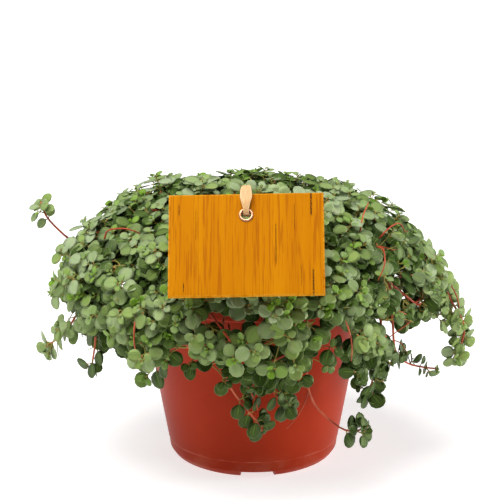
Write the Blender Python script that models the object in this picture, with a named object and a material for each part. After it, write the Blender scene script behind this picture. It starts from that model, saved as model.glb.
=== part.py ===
"""A round-leaved trailing plant in its nursery pot, with a wooden hang tag looped to a stem.

Units are metres, +Z is up, and the origin is on the pot's axis at the surface it stands on.
The front, where the tag hangs, faces -Y.  Angles round the pot are measured from +X.
"""

import math
import random
from collections import namedtuple

import bmesh
import bpy
from mathutils import Matrix, Vector
from mathutils.bvhtree import BVHTree

# Pot
POT_HEIGHT = 0.100
RIM_RADIUS = 0.060
RIM_BAND = 0.013
WALL_TOP_RADIUS = 0.0572
RING_RADIUS = 0.0434
RING_HEIGHT = 0.0094
FOOT_RADIUS = 0.0385
FOOT_HEIGHT = 0.0036
FOOT_FLARE = 0.0040
WALL = 0.0013
FLOOR = 0.0016
LIP = 0.0019
INNER_FOOT_HEIGHT = 0.0100
INNER_FLOOR_RADIUS = 0.0388
EDGE = 0.0008
POT_STEPS = 32
NOTCH_WIDTH = 0.017
NOTCH_HEIGHT = 0.0034
NOTCH_ROUND = 0.0014
NOTCH_COUNT = 3
NOTCH_TURN = -87
DRAIN_RADIUS = 0.0035
DRAIN_CIRCLE = 0.022
DRAIN_COUNT = 5
DRAIN_TURN = 18
DRAIN_SIDES = 8
SMOOTH_TO = math.radians(40)

# Soil and the gap that touching pieces keep
GAP = 0.0003
SOIL_EDGE = 0.0880
SOIL_CROWN = 0.0915
SOIL_BEVEL = 0.004
SOIL_MOUND_RADIUS = 0.030
SOIL_STEPS = 24
ROOT_DEPTH = 0.009
ROOT_STAND = 0.016
HOLE_SIDES = 5

# Shape of the foliage: a flattened dome over a curtain that hangs round the pot
DOME_MIDDLE = 0.088
DOME_RISE = 0.0545
DOME_REACH = 0.0978
DOME_POWER = 2.22
LEFT_SHIFT = 0.0012
BACK_SHIFT = 0.0015
CROWN_LEAN = 0.005
CURTAIN_TUCK = 0.13
CURTAIN_FALL = 45
# Angles round the plant, and how far the curtain hangs there in millimetres
HEM = ((-180, 18), (-157, 14), (-145, 12), (-134, 29), (-120, 16), (-95, 15), (-62, 24), (-47, 24),
       (-34, 11), (-22, 6), (10, 7), (40, 22), (90, 34), (140, 30), (180, 18))
STEM_DEPTH = 0.0110

# Stems.  Lengths are in metres, falls and turns in degrees.
SEED = 41
STEM_RADIUS = 0.0015
SHOOT_RADIUS = 0.0010
STEM_STEP = 0.022
SPRIG_STEP = 0.011
RIM_CLEARANCE = 0.0035
OUTER_ROOT = 0.040
ARCH_LAG = 22
SHOOT_LAG = 7
SHOOT_SPLIT = 0.35
SHOOT_LEAN = 0.45
SHOOT_WANDER = 0.20
SHOOT_SPREAD = 0.25
ELBOW = 0.0026

# Leaves.  Each outline point is a share of the length, of half the width and of the cup, from the
# leaf's root to near its tip.  A leaf that would touch another is tried smaller and bent.
LEAF_LENGTH = 0.0155
LEAF_WIDTH = 0.0144
LEAF_THICK = 0.0011
LEAF_ROOT = 0.0008
LEAF_CUP = 0.0007
LEAF_OUTLINE = ((0.24, 0.76, 0.3), (0.70, 0.96, 1.0))
LEAF_HEART = 0.50
PAIR_RISE = 0.25
ROSETTE = ((1.0, 0.16), (0.84, 0.50))
TIP_LENGTH = 2 * LEAF_ROOT
CLEAR = 0.00035
LEAF_TRIES = tuple((share, lift) for share in (1.0, 0.88, 0.76, 0.64) for lift in (0, 0.25, -0.25, 0.5))

# Tag, eyelet and loop
TAG_CENTRE = Vector((-0.0034, -0.0815, 0.1330))
TAG_WIDTH = 0.0720
TAG_HEIGHT = 0.0510
TAG_THICK = 0.0020
TAG_LEAN = math.radians(39.5)
TAG_ROLL = math.radians(-1.8)
TAG_YAW = math.radians(-2.5)
TAG_CORNER = 0.0006
TAG_HOLE_DROP = 0.0108
TAG_HOLE_RISE = TAG_HEIGHT / 2 - TAG_HOLE_DROP
TAG_HOLE_RADIUS = 0.0029
TAG_HOLE_SIDES = 16
EYELET_BORE = 0.0022
EYELET_FLANGE = 0.0034
EYELET_SHEET = 0.0004
EYELET_SIDES = 12
LOOP_WIDTH = 0.0056
LOOP_NARROW = 0.0026
LOOP_THICK = 0.0007
LOOP_WIDENS_FROM = 0.002
LOOP_WIDENS_OVER = 0.008

# The stems in four tiers.  A tier's stems stand evenly round the pot from an angle of turn, on a
# circle of radius root.  Their shoots end at falls from start to end, and size is that of the leaves.
Tier = namedtuple("Tier", "name count turn root depth start end tips size")
TIERS = (
    Tier("crown_stem", 4, 38, 0.011, 0.010, 8, 28, 3, 1.12),
    Tier("upper_stem", 8, 12, 0.023, 0.019, 36, 58, 3, 1.05),
    Tier("shoulder_stem", 10, 2, 0.034, 0.019, 65, 88, 3, 1.00),
    Tier("curtain_stem", 11, 20.2, 0.046, 0.020, 96, 132, 3, 1.00),
)

# Single sprigs.  The way is in millimetres from the sprig's foot in the soil to its tip, leafy is
# the share of the way that carries leaf pairs, and size is that of its leaves.
Sprig = namedtuple("Sprig", "name leafy size way")
SPRIGS = (
    Sprig("left_sprig", 0.32, 0.62, (
        (-48.5, 10.5, 79), (-49, 10.5, 92), (-58, 9, 106), (-80, 5, 106), (-90, 3, 109.5),
        (-97, 1, 116), (-103, 0, 123.5), (-105.5, 0, 131))),
    Sprig("right_sprig", 0.50, 0.66, (
        (49.3, 3.4, 79), (49.6, 3.4, 92), (60.5, 3, 104.5), (80, -2, 108), (91, -7, 98),
        (98, -11, 84), (105, -11, 71), (104.5, -10.5, 61), (100, -10, 51))),
    Sprig("right_low_sprig", 0.32, 0.55, (
        (42.9, -24.8, 79), (43.2, -25, 92), (53, -30.5, 104.5), (66, -34, 98), (68, -33, 80),
        (70, -28, 63), (76, -23, 54.5), (85, -20, 51), (92, -18, 49.5))),
    Sprig("right_inner_sprig", 0.45, 0.66, (
        (26.2, -42, 79), (26.4, -42.3, 92), (32.5, -52, 104.5), (46, -60, 97), (56, -54, 75),
        (58, -47, 57), (56, -43, 43))),
    Sprig("bottom_sprig", 0.22, 0.55, (
        (17, -46.5, 79), (17, -46.7, 92), (20, -54, 106), (25, -66, 92), (25, -67, 68),
        (28, -66, 51), (38, -65, 39), (47, -64, 34), (55, -63, 36))),
    Sprig("front_sprig", 0.22, 0.60, (
        (-6, -49.1, 79), (-6, -49.5, 92), (-8, -57, 106), (-14, -68.5, 93), (-15, -68.5, 72),
        (-11, -67, 58), (-4, -65, 47), (1, -64, 40), (4, -63, 34))),
    Sprig("middle_sprig", 0.35, 0.60, (
        (1.7, -49.5, 79), (1.7, -49.7, 92), (3, -57.5, 106), (4, -70, 94), (4, -70, 77),
        (9, -67, 57), (17, -64, 45))),
    Sprig("front_left_sprig", 0.40, 0.66, (
        (-45.9, -18.5, 79), (-46.2, -18.6, 92), (-56, -24, 104.5), (-70, -32, 97), (-76, -34, 80),
        (-78, -32, 66), (-80, -29, 54))),
    Sprig("left_low_sprig", 0.40, 0.66, (
        (-48.2, -11.1, 79), (-48.5, -11.2, 92), (-58, -13, 105.5), (-71, -18, 100),
        (-83, -21, 86), (-92, -18, 71), (-99, -12, 62.5), (-105, -8, 58))),
    Sprig("back_left_sprig", 0.45, 0.66, (
        (-34.5, 34.5, 79), (-34.8, 34.8, 92), (-42, 42, 106), (-55, 54, 98), (-60, 60, 78),
        (-58, 60, 60), (-54, 56, 48))),
    Sprig("back_right_sprig", 0.45, 0.66, (
        (16.9, 46.5, 79), (17, 46.8, 92), (21, 57, 104.5), (26, 70, 98), (28, 78, 78), (27, 78, 60),
        (24, 74, 48))),
    Sprig("tag_stem", 0.35, 0.62, (
        (-20, -30, 79), (-20, -30.5, 92), (-19, -37, 108), (-19, -47, 126), (-18, -56, 141),
        (-12, -61, 149), (-3.7, -62.2, 151.2), (7, -61.5, 151), (20, -57, 147), (31, -50, 143),
        (38, -43, 142))),
)

Shoot = namedtuple("Shoot", "base tip out spin size")

# The strap's closed way, in millimetres out of and up the board from the eyelet's middle.
LOOP_WAY = ((0.0, 0.5), (2.2, 0.9), (3.4, 4.0), (3.4, 8.0), (3.0, 11.5), (1.6, 14.2), (-0.8, 15.3),
            (-3.4, 14.3), (-5.6, 11.6), (-6.4, 8.0), (-5.6, 4.2), (-2.8, 1.1))


def material(name, colour, roughness, metallic=0.0):
    """A plain surface of one colour."""
    made = bpy.data.materials.new(name)
    made.use_nodes = True
    shader = made.node_tree.nodes["Principled BSDF"]
    shader.inputs["Base Color"].default_value = (*colour, 1.0)
    shader.inputs["Roughness"].default_value = roughness
    shader.inputs["Metallic"].default_value = metallic
    made.diffuse_color = (*colour, 1.0)
    return made


def add_object(name, mesh, finish=None):
    """Put a mesh into the scene as one named object."""
    item = bpy.data.objects.new(name, mesh)
    bpy.context.scene.collection.objects.link(item)
    if finish is not None:
        mesh.materials.append(finish)
    return item


def mesh_from(name, points, faces):
    """A mesh from its corner points and faces."""
    mesh = bpy.data.meshes.new(name)
    mesh.from_pydata([tuple(point) for point in points], [], faces)
    mesh.update()
    return mesh


def turned(name, profile, finish, steps=POT_STEPS):
    """Turn an open profile of (radius, height), with both its ends on the axis, into a solid."""
    shape = bmesh.new()
    corners = [shape.verts.new((radius, 0.0, height)) for radius, height in profile]
    edges = [shape.edges.new(pair) for pair in zip(corners, corners[1:])]
    bmesh.ops.spin(shape, geom=corners + edges, cent=(0, 0, 0), axis=(0, 0, 1),
                   angle=2 * math.pi, steps=steps, use_merge=True)
    bmesh.ops.remove_doubles(shape, verts=shape.verts, dist=1e-6)
    bmesh.ops.recalc_face_normals(shape, faces=shape.faces)
    mesh = bpy.data.meshes.new(name)
    shape.to_mesh(mesh)
    shape.free()
    return add_object(name, mesh, finish)


def combine(item, tools, operation):
    """Apply one Boolean with a group of tool objects, and remove the tools."""
    group = bpy.data.collections.new("tools")
    bpy.context.scene.collection.children.link(group)
    for tool in tools:
        group.objects.link(tool)
    joint = item.modifiers.new("combine", "BOOLEAN")
    joint.operand_type = "COLLECTION"
    joint.collection = group
    joint.operation = operation
    bpy.context.view_layer.update()
    seen = item.evaluated_get(bpy.context.evaluated_depsgraph_get())
    joined = bpy.data.meshes.new_from_object(seen)
    item.modifiers.clear()
    item.data = joined
    for tool in tools:
        bpy.data.objects.remove(tool)
    bpy.data.collections.remove(group)


def cylinder(name, radius, low, high, x, y, sides):
    """An upright cylinder between two heights."""
    shape = bmesh.new()
    bmesh.ops.create_cone(shape, cap_ends=True, segments=sides, radius1=radius, radius2=radius,
                          depth=high - low)
    bmesh.ops.translate(shape, verts=shape.verts, vec=(x, y, (low + high) / 2))
    mesh = bpy.data.meshes.new(name)
    shape.to_mesh(mesh)
    shape.free()
    return add_object(name, mesh)


def outer_radius(height):
    """The pot wall's outer radius at a height between the ring line and the rim band."""
    share = (height - RING_HEIGHT) / (POT_HEIGHT - RIM_BAND - RING_HEIGHT)
    return RING_RADIUS + share * (WALL_TOP_RADIUS - RING_RADIUS)


def inner_radius(height):
    """The pot wall's inner radius."""
    return outer_radius(height) - WALL


def make_pot(finish):
    """The moulded pot: foot ring, ring line, tapered wall and rim band, with notches and drains."""
    band_low = POT_HEIGHT - RIM_BAND
    floor_top = FOOT_HEIGHT + FLOOR
    profile = (
        (0.0, FOOT_HEIGHT),
        (FOOT_RADIUS - 0.0035, FOOT_HEIGHT),
        (FOOT_RADIUS - 0.0028, 0.0),
        (FOOT_RADIUS - 0.0006, 0.0),
        (FOOT_RADIUS + FOOT_FLARE / 2, 0.0014),
        (FOOT_RADIUS + FOOT_FLARE, 0.0042),
        (RING_RADIUS - EDGE / 2, RING_HEIGHT - EDGE / 2),
        (RING_RADIUS, RING_HEIGHT),
        (WALL_TOP_RADIUS, band_low),
        (RIM_RADIUS - EDGE, band_low + EDGE),
        (RIM_RADIUS, POT_HEIGHT - EDGE),
        (RIM_RADIUS - EDGE, POT_HEIGHT),
        (RIM_RADIUS - LIP, POT_HEIGHT),
        (inner_radius(band_low), band_low - EDGE),
        (inner_radius(INNER_FOOT_HEIGHT), INNER_FOOT_HEIGHT),
        (INNER_FLOOR_RADIUS, floor_top),
        (0.0, floor_top),
    )
    pot = turned("pot", profile, finish)
    tools = []
    for index in range(DRAIN_COUNT):
        turn = math.radians(360 * index / DRAIN_COUNT + DRAIN_TURN)
        tools.append(cylinder("drain", DRAIN_RADIUS, FOOT_HEIGHT - FLOOR, floor_top + FLOOR,
                              DRAIN_CIRCLE * math.cos(turn), DRAIN_CIRCLE * math.sin(turn), DRAIN_SIDES))
    for index in range(NOTCH_COUNT):
        tools.append(notch_cutter(math.radians(NOTCH_TURN + 360 * index / NOTCH_COUNT)))
    combine(pot, tools, "DIFFERENCE")
    shade_round(pot)
    return pot


def notch_cutter(turn):
    """A slot with rounded upper corners that is cut through the foot ring."""
    half = NOTCH_WIDTH / 2
    shoulder = NOTCH_HEIGHT - NOTCH_ROUND
    outline = ((-half, -NOTCH_HEIGHT), (half, -NOTCH_HEIGHT), (half, shoulder),
               (half - NOTCH_ROUND, NOTCH_HEIGHT), (NOTCH_ROUND - half, NOTCH_HEIGHT), (-half, shoulder))
    near = FOOT_RADIUS - 2 * FOOT_FLARE
    far = FOOT_RADIUS + 2 * FOOT_FLARE
    spin = Matrix.Rotation(turn, 3, "Z")
    points = [spin @ Vector((reach, side, height)) for reach in (near, far) for side, height in outline]
    count = len(outline)
    faces = [tuple(range(count - 1, -1, -1)), tuple(range(count, 2 * count))]
    for first in range(count):
        second = (first + 1) % count
        faces.append((first, second, second + count, first + count))
    cutter = add_object("notch", mesh_from("notch", points, faces))
    face_out(cutter.data)
    return cutter


def face_out(mesh):
    """Turn all the faces of a closed mesh outwards."""
    shape = bmesh.new()
    shape.from_mesh(mesh)
    bmesh.ops.recalc_face_normals(shape, faces=shape.faces)
    shape.to_mesh(mesh)
    shape.free()


def shade_round(item):
    """Shade a piece smooth but for its sharp edges."""
    item.data.shade_smooth()
    item.data.set_sharp_from_angle(angle=SMOOTH_TO)


def make_soil(finish, roots):
    """The compost plug, with a plain hole for each stem."""
    low = FOOT_HEIGHT + FLOOR + GAP
    side_top = SOIL_EDGE - SOIL_BEVEL
    profile = (
        (0.0, low),
        (INNER_FLOOR_RADIUS - GAP, low),
        (inner_radius(INNER_FOOT_HEIGHT) - GAP, INNER_FOOT_HEIGHT + GAP),
        (inner_radius(side_top) - GAP, side_top),
        (inner_radius(side_top) - SOIL_BEVEL, SOIL_EDGE),
        (SOIL_MOUND_RADIUS, SOIL_CROWN - EDGE),
        (0.0, SOIL_CROWN),
    )
    soil = turned("soil", profile, finish, SOIL_STEPS)
    hole = (STEM_RADIUS + GAP) / math.cos(math.pi / HOLE_SIDES) + GAP / 6
    holes = [cylinder("hole", hole, root.z - GAP, POT_HEIGHT, root.x, root.y, HOLE_SIDES) for root in roots]
    combine(soil, holes, "DIFFERENCE")
    shade_round(soil)


def round_power(value, power):
    """A signed power, for the superellipse."""
    return math.copysign(abs(value) ** power, value)


def reach_at(azimuth):
    """How far the foliage reaches from the axis at its widest: a little further left and back."""
    turn = math.radians(azimuth)
    return DOME_REACH - LEFT_SHIFT * math.cos(turn) + BACK_SHIFT * math.sin(turn)


def hem_drop(azimuth):
    """How far the curtain hangs at an angle, in even steps between the angles of the table."""
    turn = (azimuth + 180) % 360 - 180
    for (low, start), (high, stop) in zip(HEM, HEM[1:]):
        if turn <= high:
            return 0.001 * (start + (stop - start) * (turn - low) / (high - low))


def foliage_point(azimuth, fall, depth):
    """A point sunk by depth under the foliage surface.

    Fall is the angle from straight up.  To 90 degrees the surface is a superellipse, and past that
    it hangs as a curtain that tucks in a little towards its hem.  The crown leans to the left.
    """
    reach = reach_at(azimuth) - depth
    turn = math.radians(azimuth)
    if fall <= 90:
        power = 2 / DOME_POWER
        radius = reach * round_power(math.sin(math.radians(fall)), power)
        height = DOME_MIDDLE + (DOME_RISE - depth) * round_power(math.cos(math.radians(fall)), power)
    else:
        share = (fall - 90) / CURTAIN_FALL
        radius = reach * (1 - CURTAIN_TUCK * share * share)
        height = DOME_MIDDLE - hem_drop(azimuth) * share
    lean = CROWN_LEAN * max(0.0, height - DOME_MIDDLE) / DOME_RISE
    return Vector((radius * math.cos(turn) - lean, radius * math.sin(turn), height))


def foliage_out(azimuth, fall):
    """The outward direction of the foliage surface."""
    step = 1.0
    here = foliage_point(azimuth, fall, 0)
    along = foliage_point(azimuth, fall + step, 0) - here
    round_it = foliage_point(azimuth + step, fall, 0) - here
    if round_it.length < 1e-5:
        return Vector((0, 0, 1))
    return along.cross(round_it).normalized()


def smooth_way(points, spacing):
    """The given points, with more between them, about a spacing apart, along a smooth curve."""
    ends = [points[0] * 2 - points[1]] + list(points) + [points[-1] * 2 - points[-2]]
    way = []
    for index in range(1, len(ends) - 2):
        before, start, stop, after = ends[index - 1:index + 3]
        parts = max(1, round((stop - start).length / spacing))
        for part in range(parts):
            share = part / parts
            bend = (2 * start + (stop - before) * share
                    + (2 * before - 5 * start + 4 * stop - after) * share ** 2
                    + (3 * start - before - 3 * stop + after) * share ** 3)
            way.append(bend / 2 if part else start)
    way.append(points[-1])
    return way


class Axis:
    """A four-sided stem along a way, some of whose short segments carry an opposite pair of leaves.

    A leaf grows straight out of a side face of its segment, so it shares that face's corners.
    """

    def __init__(self, way, radius, pairs=(), out=None, size=1.0, spin=0.0):
        self.rings = []
        self.ahead = []
        self.buds = []
        places = dict(pairs)
        for index, here in enumerate(way):
            before = way[max(index - 1, 0)]
            after = way[min(index + 1, len(way) - 1)]
            ahead = (after - before).normalized()
            if out is not None and index == len(way) - 1:
                ahead = out
            self.place(here, ahead, radius, spin)
            if index in places:
                self.place(here + ahead * LEAF_ROOT, ahead, radius, spin)
                self.pair(places[index], PAIR_RISE)
        if out is not None:
            foot = way[-1]
            for share, rise in ROSETTE:
                foot = foot + out * LEAF_ROOT
                self.place(foot, out, radius, spin)
                self.pair(size * share, rise)

    def place(self, here, ahead, radius, spin):
        """Add one ring of four corners, turned as little as can be from the last."""
        if self.rings:
            last = self.rings[-1]
            side = last[0] - sum(last, Vector()) / 4
        else:
            side = Matrix.Rotation(spin, 3, ahead) @ ahead.orthogonal()
        side = (side - ahead * side.dot(ahead)).normalized() * radius
        other = ahead.cross(side)
        self.rings.append([here + side, here + other, here - side, here - other])
        self.ahead.append(ahead)

    def pair(self, size, rise):
        """Two opposite leaves on the last segment, set crosswise to the pair before."""
        parity = len(self.buds) // 2 % 2
        for corner in (parity, parity + 2):
            self.buds.append([len(self.rings) - 2, corner, size, rise])

    def root(self, bud):
        """The four corners of the face that a leaf grows from: low left, low right, high right, high left."""
        ring, corner = bud[:2]
        low, high = self.rings[ring], self.rings[ring + 1]
        return [low[corner], low[(corner + 1) % 4], high[(corner + 1) % 4], high[corner]]

    def blade(self, bud, swell=0.0):
        """The corners of a leaf: its root face, its round outline, and the middles of its two faces."""
        root = self.root(bud)
        ring, corner, size, rise = bud
        stem = self.ahead[ring + 1]
        middle = sum(root, Vector()) / 4
        outward = middle - sum(self.rings[ring] + self.rings[ring + 1], Vector()) / 8
        outward = (outward - stem * outward.dot(stem)).normalized()
        along = outward * math.cos(rise) + stem * math.sin(rise)
        up = stem * math.cos(rise) - outward * math.sin(rise)
        across = up.cross(along)
        length = LEAF_LENGTH * size + swell
        half = LEAF_WIDTH * size / 2 + swell
        lift = LEAF_CUP * size
        right = [middle + along * length * at + across * half * side + up * lift * cup
                 for at, side, cup in LEAF_OUTLINE]
        left = [middle + along * length * at - across * half * side + up * lift * cup
                for at, side, cup in reversed(LEAF_OUTLINE)]
        tip = [middle + along * length + up * lift * 0.5]
        heart = middle + along * length * LEAF_HEART
        return root + right + tip + left + [heart + up * (LEAF_THICK * 0.35 + swell),
                                      heart - up * (LEAF_THICK * 0.65 + swell)]

    def tube(self):
        """Corners and faces of the bare stem."""
        points = [corner for ring in self.rings for corner in ring]
        return points, self.sides(set()) + self.ends(len(points))

    @staticmethod
    def ends(count):
        """The two end faces."""
        return [(3, 2, 1, 0), (count - 4, count - 3, count - 2, count - 1)]

    def sides(self, without):
        """The side faces, but for those that a leaf takes the place of."""
        faces = []
        for ring in range(len(self.rings) - 1):
            for corner in range(4):
                if (ring, corner) not in without:
                    first = ring * 4 + corner
                    second = ring * 4 + (corner + 1) % 4
                    faces += [(first, second, second + 4), (first, second + 4, first + 4)]
        return faces

    def leafy(self):
        """Corners and faces of the stem together with its leaves."""
        points = [corner for ring in self.rings for corner in ring]
        faces = self.ends(len(points))
        taken = set()
        for bud in self.buds:
            ring, corner, size, _ = bud
            if size <= 0:
                continue
            taken.add((ring, corner))
            low = ring * 4
            root = [low + corner, low + (corner + 1) % 4, low + 4 + (corner + 1) % 4, low + 4 + corner]
            first = len(points)
            points += self.blade(bud)[4:]
            faces += leaf_faces(root + list(range(first, first + 7)))
        return points, faces + self.sides(taken)


def leaf_faces(corners):
    """Faces of a leaf on its eleven corners, alike on both sides of the blade, root face left open."""
    low_left, low_right, high_right, high_left = corners[:4]
    rim = corners[4:-2]
    top, bottom = corners[-2:]
    over = [high_left, high_right] + rim
    under = [low_left, low_right] + rim
    around = len(over)
    faces = [(top, over[(at + 1) % around], over[at]) for at in range(around)]
    faces += [(bottom, under[at], under[(at + 1) % around]) for at in range(around)]
    return faces + [(high_right, rim[0], low_right), (low_left, rim[-1], high_left)]


class Bed:
    """Everything that already has its place, for keeping new leaves clear of it."""

    def __init__(self):
        self.items = []

    def add(self, owner, points, faces):
        """Remember a shape and who it belongs to."""
        self.items.append((owner, *self.shape(points, faces)))

    @staticmethod
    def shape(points, faces):
        """A shape's search tree, middle and radius."""
        middle = sum(points, Vector()) / len(points)
        radius = max((point - middle).length for point in points)
        return BVHTree.FromPolygons(points, faces), middle, radius

    def clear(self, owner, points, faces):
        """Whether a new shape crosses nothing but what belongs to the same owner."""
        tree, middle, radius = self.shape(points, faces)
        for other, known, centre, reach in self.items:
            near = (centre - middle).length < radius + reach
            if near and other != owner and tree.overlap(known):
                return False
        return True


def polar(radius, azimuth, height):
    """A point from its distance to the axis, its angle and its height."""
    turn = math.radians(azimuth)
    return Vector((radius * math.cos(turn), radius * math.sin(turn), height))


def tier_stems(tier, draw):
    """Each stem of a tier: its name, its way from the soil, and the shoots that leave it."""
    sector = 360 / tier.count
    for index in range(tier.count):
        azimuth = tier.turn + sector * index + draw.uniform(-0.03, 0.03) * sector
        side = 1 if index % 2 else -1
        root = polar(tier.root * draw.uniform(0.95, 1.03), azimuth, SOIL_EDGE - ROOT_DEPTH)
        falls = [tier.start + (tier.end - tier.start) * step / (tier.tips - 1) for step in range(tier.tips)]
        route = [root, root + Vector((0, 0, ROOT_STAND))]
        if tier.root > OUTER_ROOT:
            route.append(polar(RIM_RADIUS - LIP / 2, azimuth, POT_HEIGHT + RIM_CLEARANCE))
        if falls[0] > ARCH_LAG:
            route.append(foliage_point(azimuth, falls[0] - ARCH_LAG, tier.depth))
        shoots = []
        for step, fall in enumerate(falls):
            turn = azimuth + side * sector * (SHOOT_SPREAD + draw.uniform(-0.04, 0.04))
            out = foliage_out(turn, fall)
            tip = foliage_point(turn, fall, 0.003 + draw.uniform(-0.002, 0.003))
            base = foliage_point(azimuth, max(fall - SHOOT_LAG, fall / 2), STEM_DEPTH)
            out = out + (tip - base).normalized() * SHOOT_LEAN
            out = (out + Vector([draw.uniform(-SHOOT_WANDER, SHOOT_WANDER) for _ in range(3)])).normalized()
            size = tier.size * draw.uniform(0.94, 1.04)
            shoots.append(Shoot(base, tip, out, draw.uniform(0, math.pi / 2), size))
            if step < tier.tips - 1:
                route.append(base)
            side = -side
        last = shoots[-1]
        route.append(last.tip - last.out * (TIP_LENGTH + ELBOW))
        route.append(last.tip - last.out * TIP_LENGTH)
        yield f"{tier.name}_{index + 1:02d}", route, shoots


def tag_frame():
    """The tag's axes: right, up and out of its front."""
    yaw = Matrix.Rotation(TAG_YAW, 3, "Z")
    turn = yaw @ Matrix.Rotation(-TAG_LEAN, 3, "X") @ Matrix.Rotation(TAG_ROLL, 3, "Y")
    right = turn @ Vector((1, 0, 0))
    up = turn @ Vector((0, 0, 1))
    return right, up, right.cross(up)


def on_tag(right_by, up_by, out_by):
    """A world point from a place on the tag, measured from its middle."""
    right, up, out = tag_frame()
    return TAG_CENTRE + right * right_by + up * up_by + out * out_by


def settle(name, mesh_points, faces, finish):
    """A piece from points on the tag."""
    item = add_object(name, mesh_from(name, [on_tag(*point) for point in mesh_points], faces), finish)
    face_out(item.data)
    return item


def make_tag(finish):
    """The wooden board with its hole."""
    wide = TAG_WIDTH / 2
    tall = TAG_HEIGHT / 2
    thick = TAG_THICK / 2
    cut = TAG_CORNER
    outline = ((-wide, cut - tall), (cut - wide, -tall), (wide - cut, -tall), (wide, cut - tall),
               (wide, tall - cut), (wide - cut, tall), (cut - wide, tall), (-wide, tall - cut))
    points = [(x, z, -thick) for x, z in outline] + [(x, z, thick) for x, z in outline]
    faces = [tuple(range(7, -1, -1)), tuple(range(8, 16))]
    faces += [(at, (at + 1) % 8, (at + 1) % 8 + 8, at + 8) for at in range(8)]
    board = settle("tag", points, faces, finish)
    hole = settle("hole", *round_bar(TAG_HOLE_RADIUS, TAG_THICK, TAG_HOLE_SIDES), None)
    combine(board, [hole], "DIFFERENCE")
    return board


def round_bar(radius, reach, sides):
    """Points and faces of a bar through the tag's hole, as far to its front as to its back."""
    circle = [2 * math.pi * at / sides for at in range(sides)]
    points = [(radius * math.cos(turn), TAG_HOLE_RISE + radius * math.sin(turn), depth)
              for depth in (-reach, reach) for turn in circle]
    faces = [tuple(range(sides - 1, -1, -1)), tuple(range(sides, 2 * sides))]
    faces += [(at, (at + 1) % sides, (at + 1) % sides + sides, at + sides) for at in range(sides)]
    return points, faces


def make_eyelet(finish):
    """The rolled metal ring in the tag's hole: a short barrel between two flanges."""
    face = TAG_THICK / 2 + GAP
    barrel = EYELET_BORE + EYELET_SHEET
    profile = ((EYELET_BORE, -face - EYELET_SHEET), (EYELET_FLANGE, -face - EYELET_SHEET),
               (EYELET_FLANGE, -face), (barrel, -face), (barrel, face), (EYELET_FLANGE, face),
               (EYELET_FLANGE, face + EYELET_SHEET), (EYELET_BORE, face + EYELET_SHEET))
    points = []
    for at in range(EYELET_SIDES):
        turn = 2 * math.pi * at / EYELET_SIDES
        points += [(radius * math.cos(turn), TAG_HOLE_RISE + radius * math.sin(turn), depth)
                   for radius, depth in profile]
    ring = settle("eyelet", points, ring_faces(EYELET_SIDES, len(profile)), finish)
    shade_round(ring)
    return ring


def ring_faces(count, around):
    """Faces of a closed ring made of a number of closed sections."""
    faces = []
    for at in range(count):
        first = at * around
        second = (at + 1) % count * around
        for corner in range(around):
            after = (corner + 1) % around
            faces.append((first + corner, second + corner, second + after, first + after))
    return faces


def make_loop(finish):
    """The flat strap through the eyelet, over the board's top edge and round the stem behind it."""
    centre = [Vector((0, up, out)) * 0.001 for out, up in LOOP_WAY]
    way = smooth_ring(centre, 2)
    points = []
    for at, here in enumerate(way):
        ahead = (way[(at + 1) % len(way)] - way[at - 1]).normalized()
        thick = Vector((1, 0, 0)).cross(ahead) * LOOP_THICK / 2
        share = min(1.0, max(0.0, (here.y - LOOP_WIDENS_FROM) / LOOP_WIDENS_OVER))
        half = (LOOP_NARROW + (LOOP_WIDTH - LOOP_NARROW) * share) / 2
        for side, face in ((-1, -1), (1, -1), (1, 1), (-1, 1)):
            place = here + Vector((half * side, 0, 0)) + thick * face
            points.append((place.x, place.y + TAG_HOLE_RISE, place.z))
    return settle("loop", points, ring_faces(len(way), 4), finish)


def smooth_ring(points, parts):
    """The given points of a closed curve, each span split in equal parts."""
    around = points[-1:] + points + points[:2]
    way = []
    for before, start, stop, after in zip(around, around[1:], around[2:], around[3:]):
        for part in range(parts):
            share = part / parts
            bend = (2 * start + (stop - before) * share
                    + (2 * before - 5 * start + 4 * stop - after) * share ** 2
                    + (3 * start - before - 3 * stop + after) * share ** 3)
            way.append(bend / 2)
    return way


def tier_axes(draw):
    """The stem and the side shoots of every node of the four tiers."""
    stems = {}
    for tier in TIERS:
        for name, route, shoots in tier_stems(tier, draw):
            way = smooth_way(route, STEM_STEP)
            last = shoots[-1]
            stem = Axis(way, STEM_RADIUS, (), last.out, last.size, last.spin)
            stems[name] = [stem] + [side_shoot(way, shoot) for shoot in shoots[:-1]]
    return stems


def sprig_axes():
    """The single sprigs, each with leaf pairs along the last part of its way."""
    stems = {}
    for sprig in SPRIGS:
        way = smooth_way([Vector(point) * 0.001 for point in sprig.way], SPRIG_STEP)
        count = len(way) - 1
        pairs = [(at, sprig.size) for at in range(round(count * (1 - sprig.leafy)), count)]
        out = (way[-1] - way[-2]).normalized()
        stems[sprig.name] = [Axis(way, SHOOT_RADIUS, pairs, out, sprig.size)]
    return stems


def side_shoot(way, shoot):
    """A shoot that leaves its stem part of the way along a straight length, and turns outwards to its tip."""
    at = way.index(shoot.base)
    base = way[at].lerp(way[at - 1], SHOOT_SPLIT)
    foot = shoot.tip - shoot.out * TIP_LENGTH
    return Axis([base, foot - shoot.out * ELBOW, foot], SHOOT_RADIUS, (), shoot.out, shoot.size, shoot.spin)


def grow_leaves(stems, bed):
    """Give each leaf the largest size, and the least lift, that keeps it clear of all else."""
    faces = leaf_faces(list(range(11))) + [(3, 2, 1, 0)]
    for name, axes in stems.items():
        for number, axis in enumerate(axes):
            owner = f"{name} {number}"
            for bud in axis.buds:
                size, rise = bud[2:]
                for share, lift in LEAF_TRIES:
                    bud[2:] = size * share, rise + lift
                    if bed.clear(owner, axis.blade(bud, CLEAR), faces):
                        bed.add(owner, axis.blade(bud), faces)
                        break
                else:
                    bud[2] = 0


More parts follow.
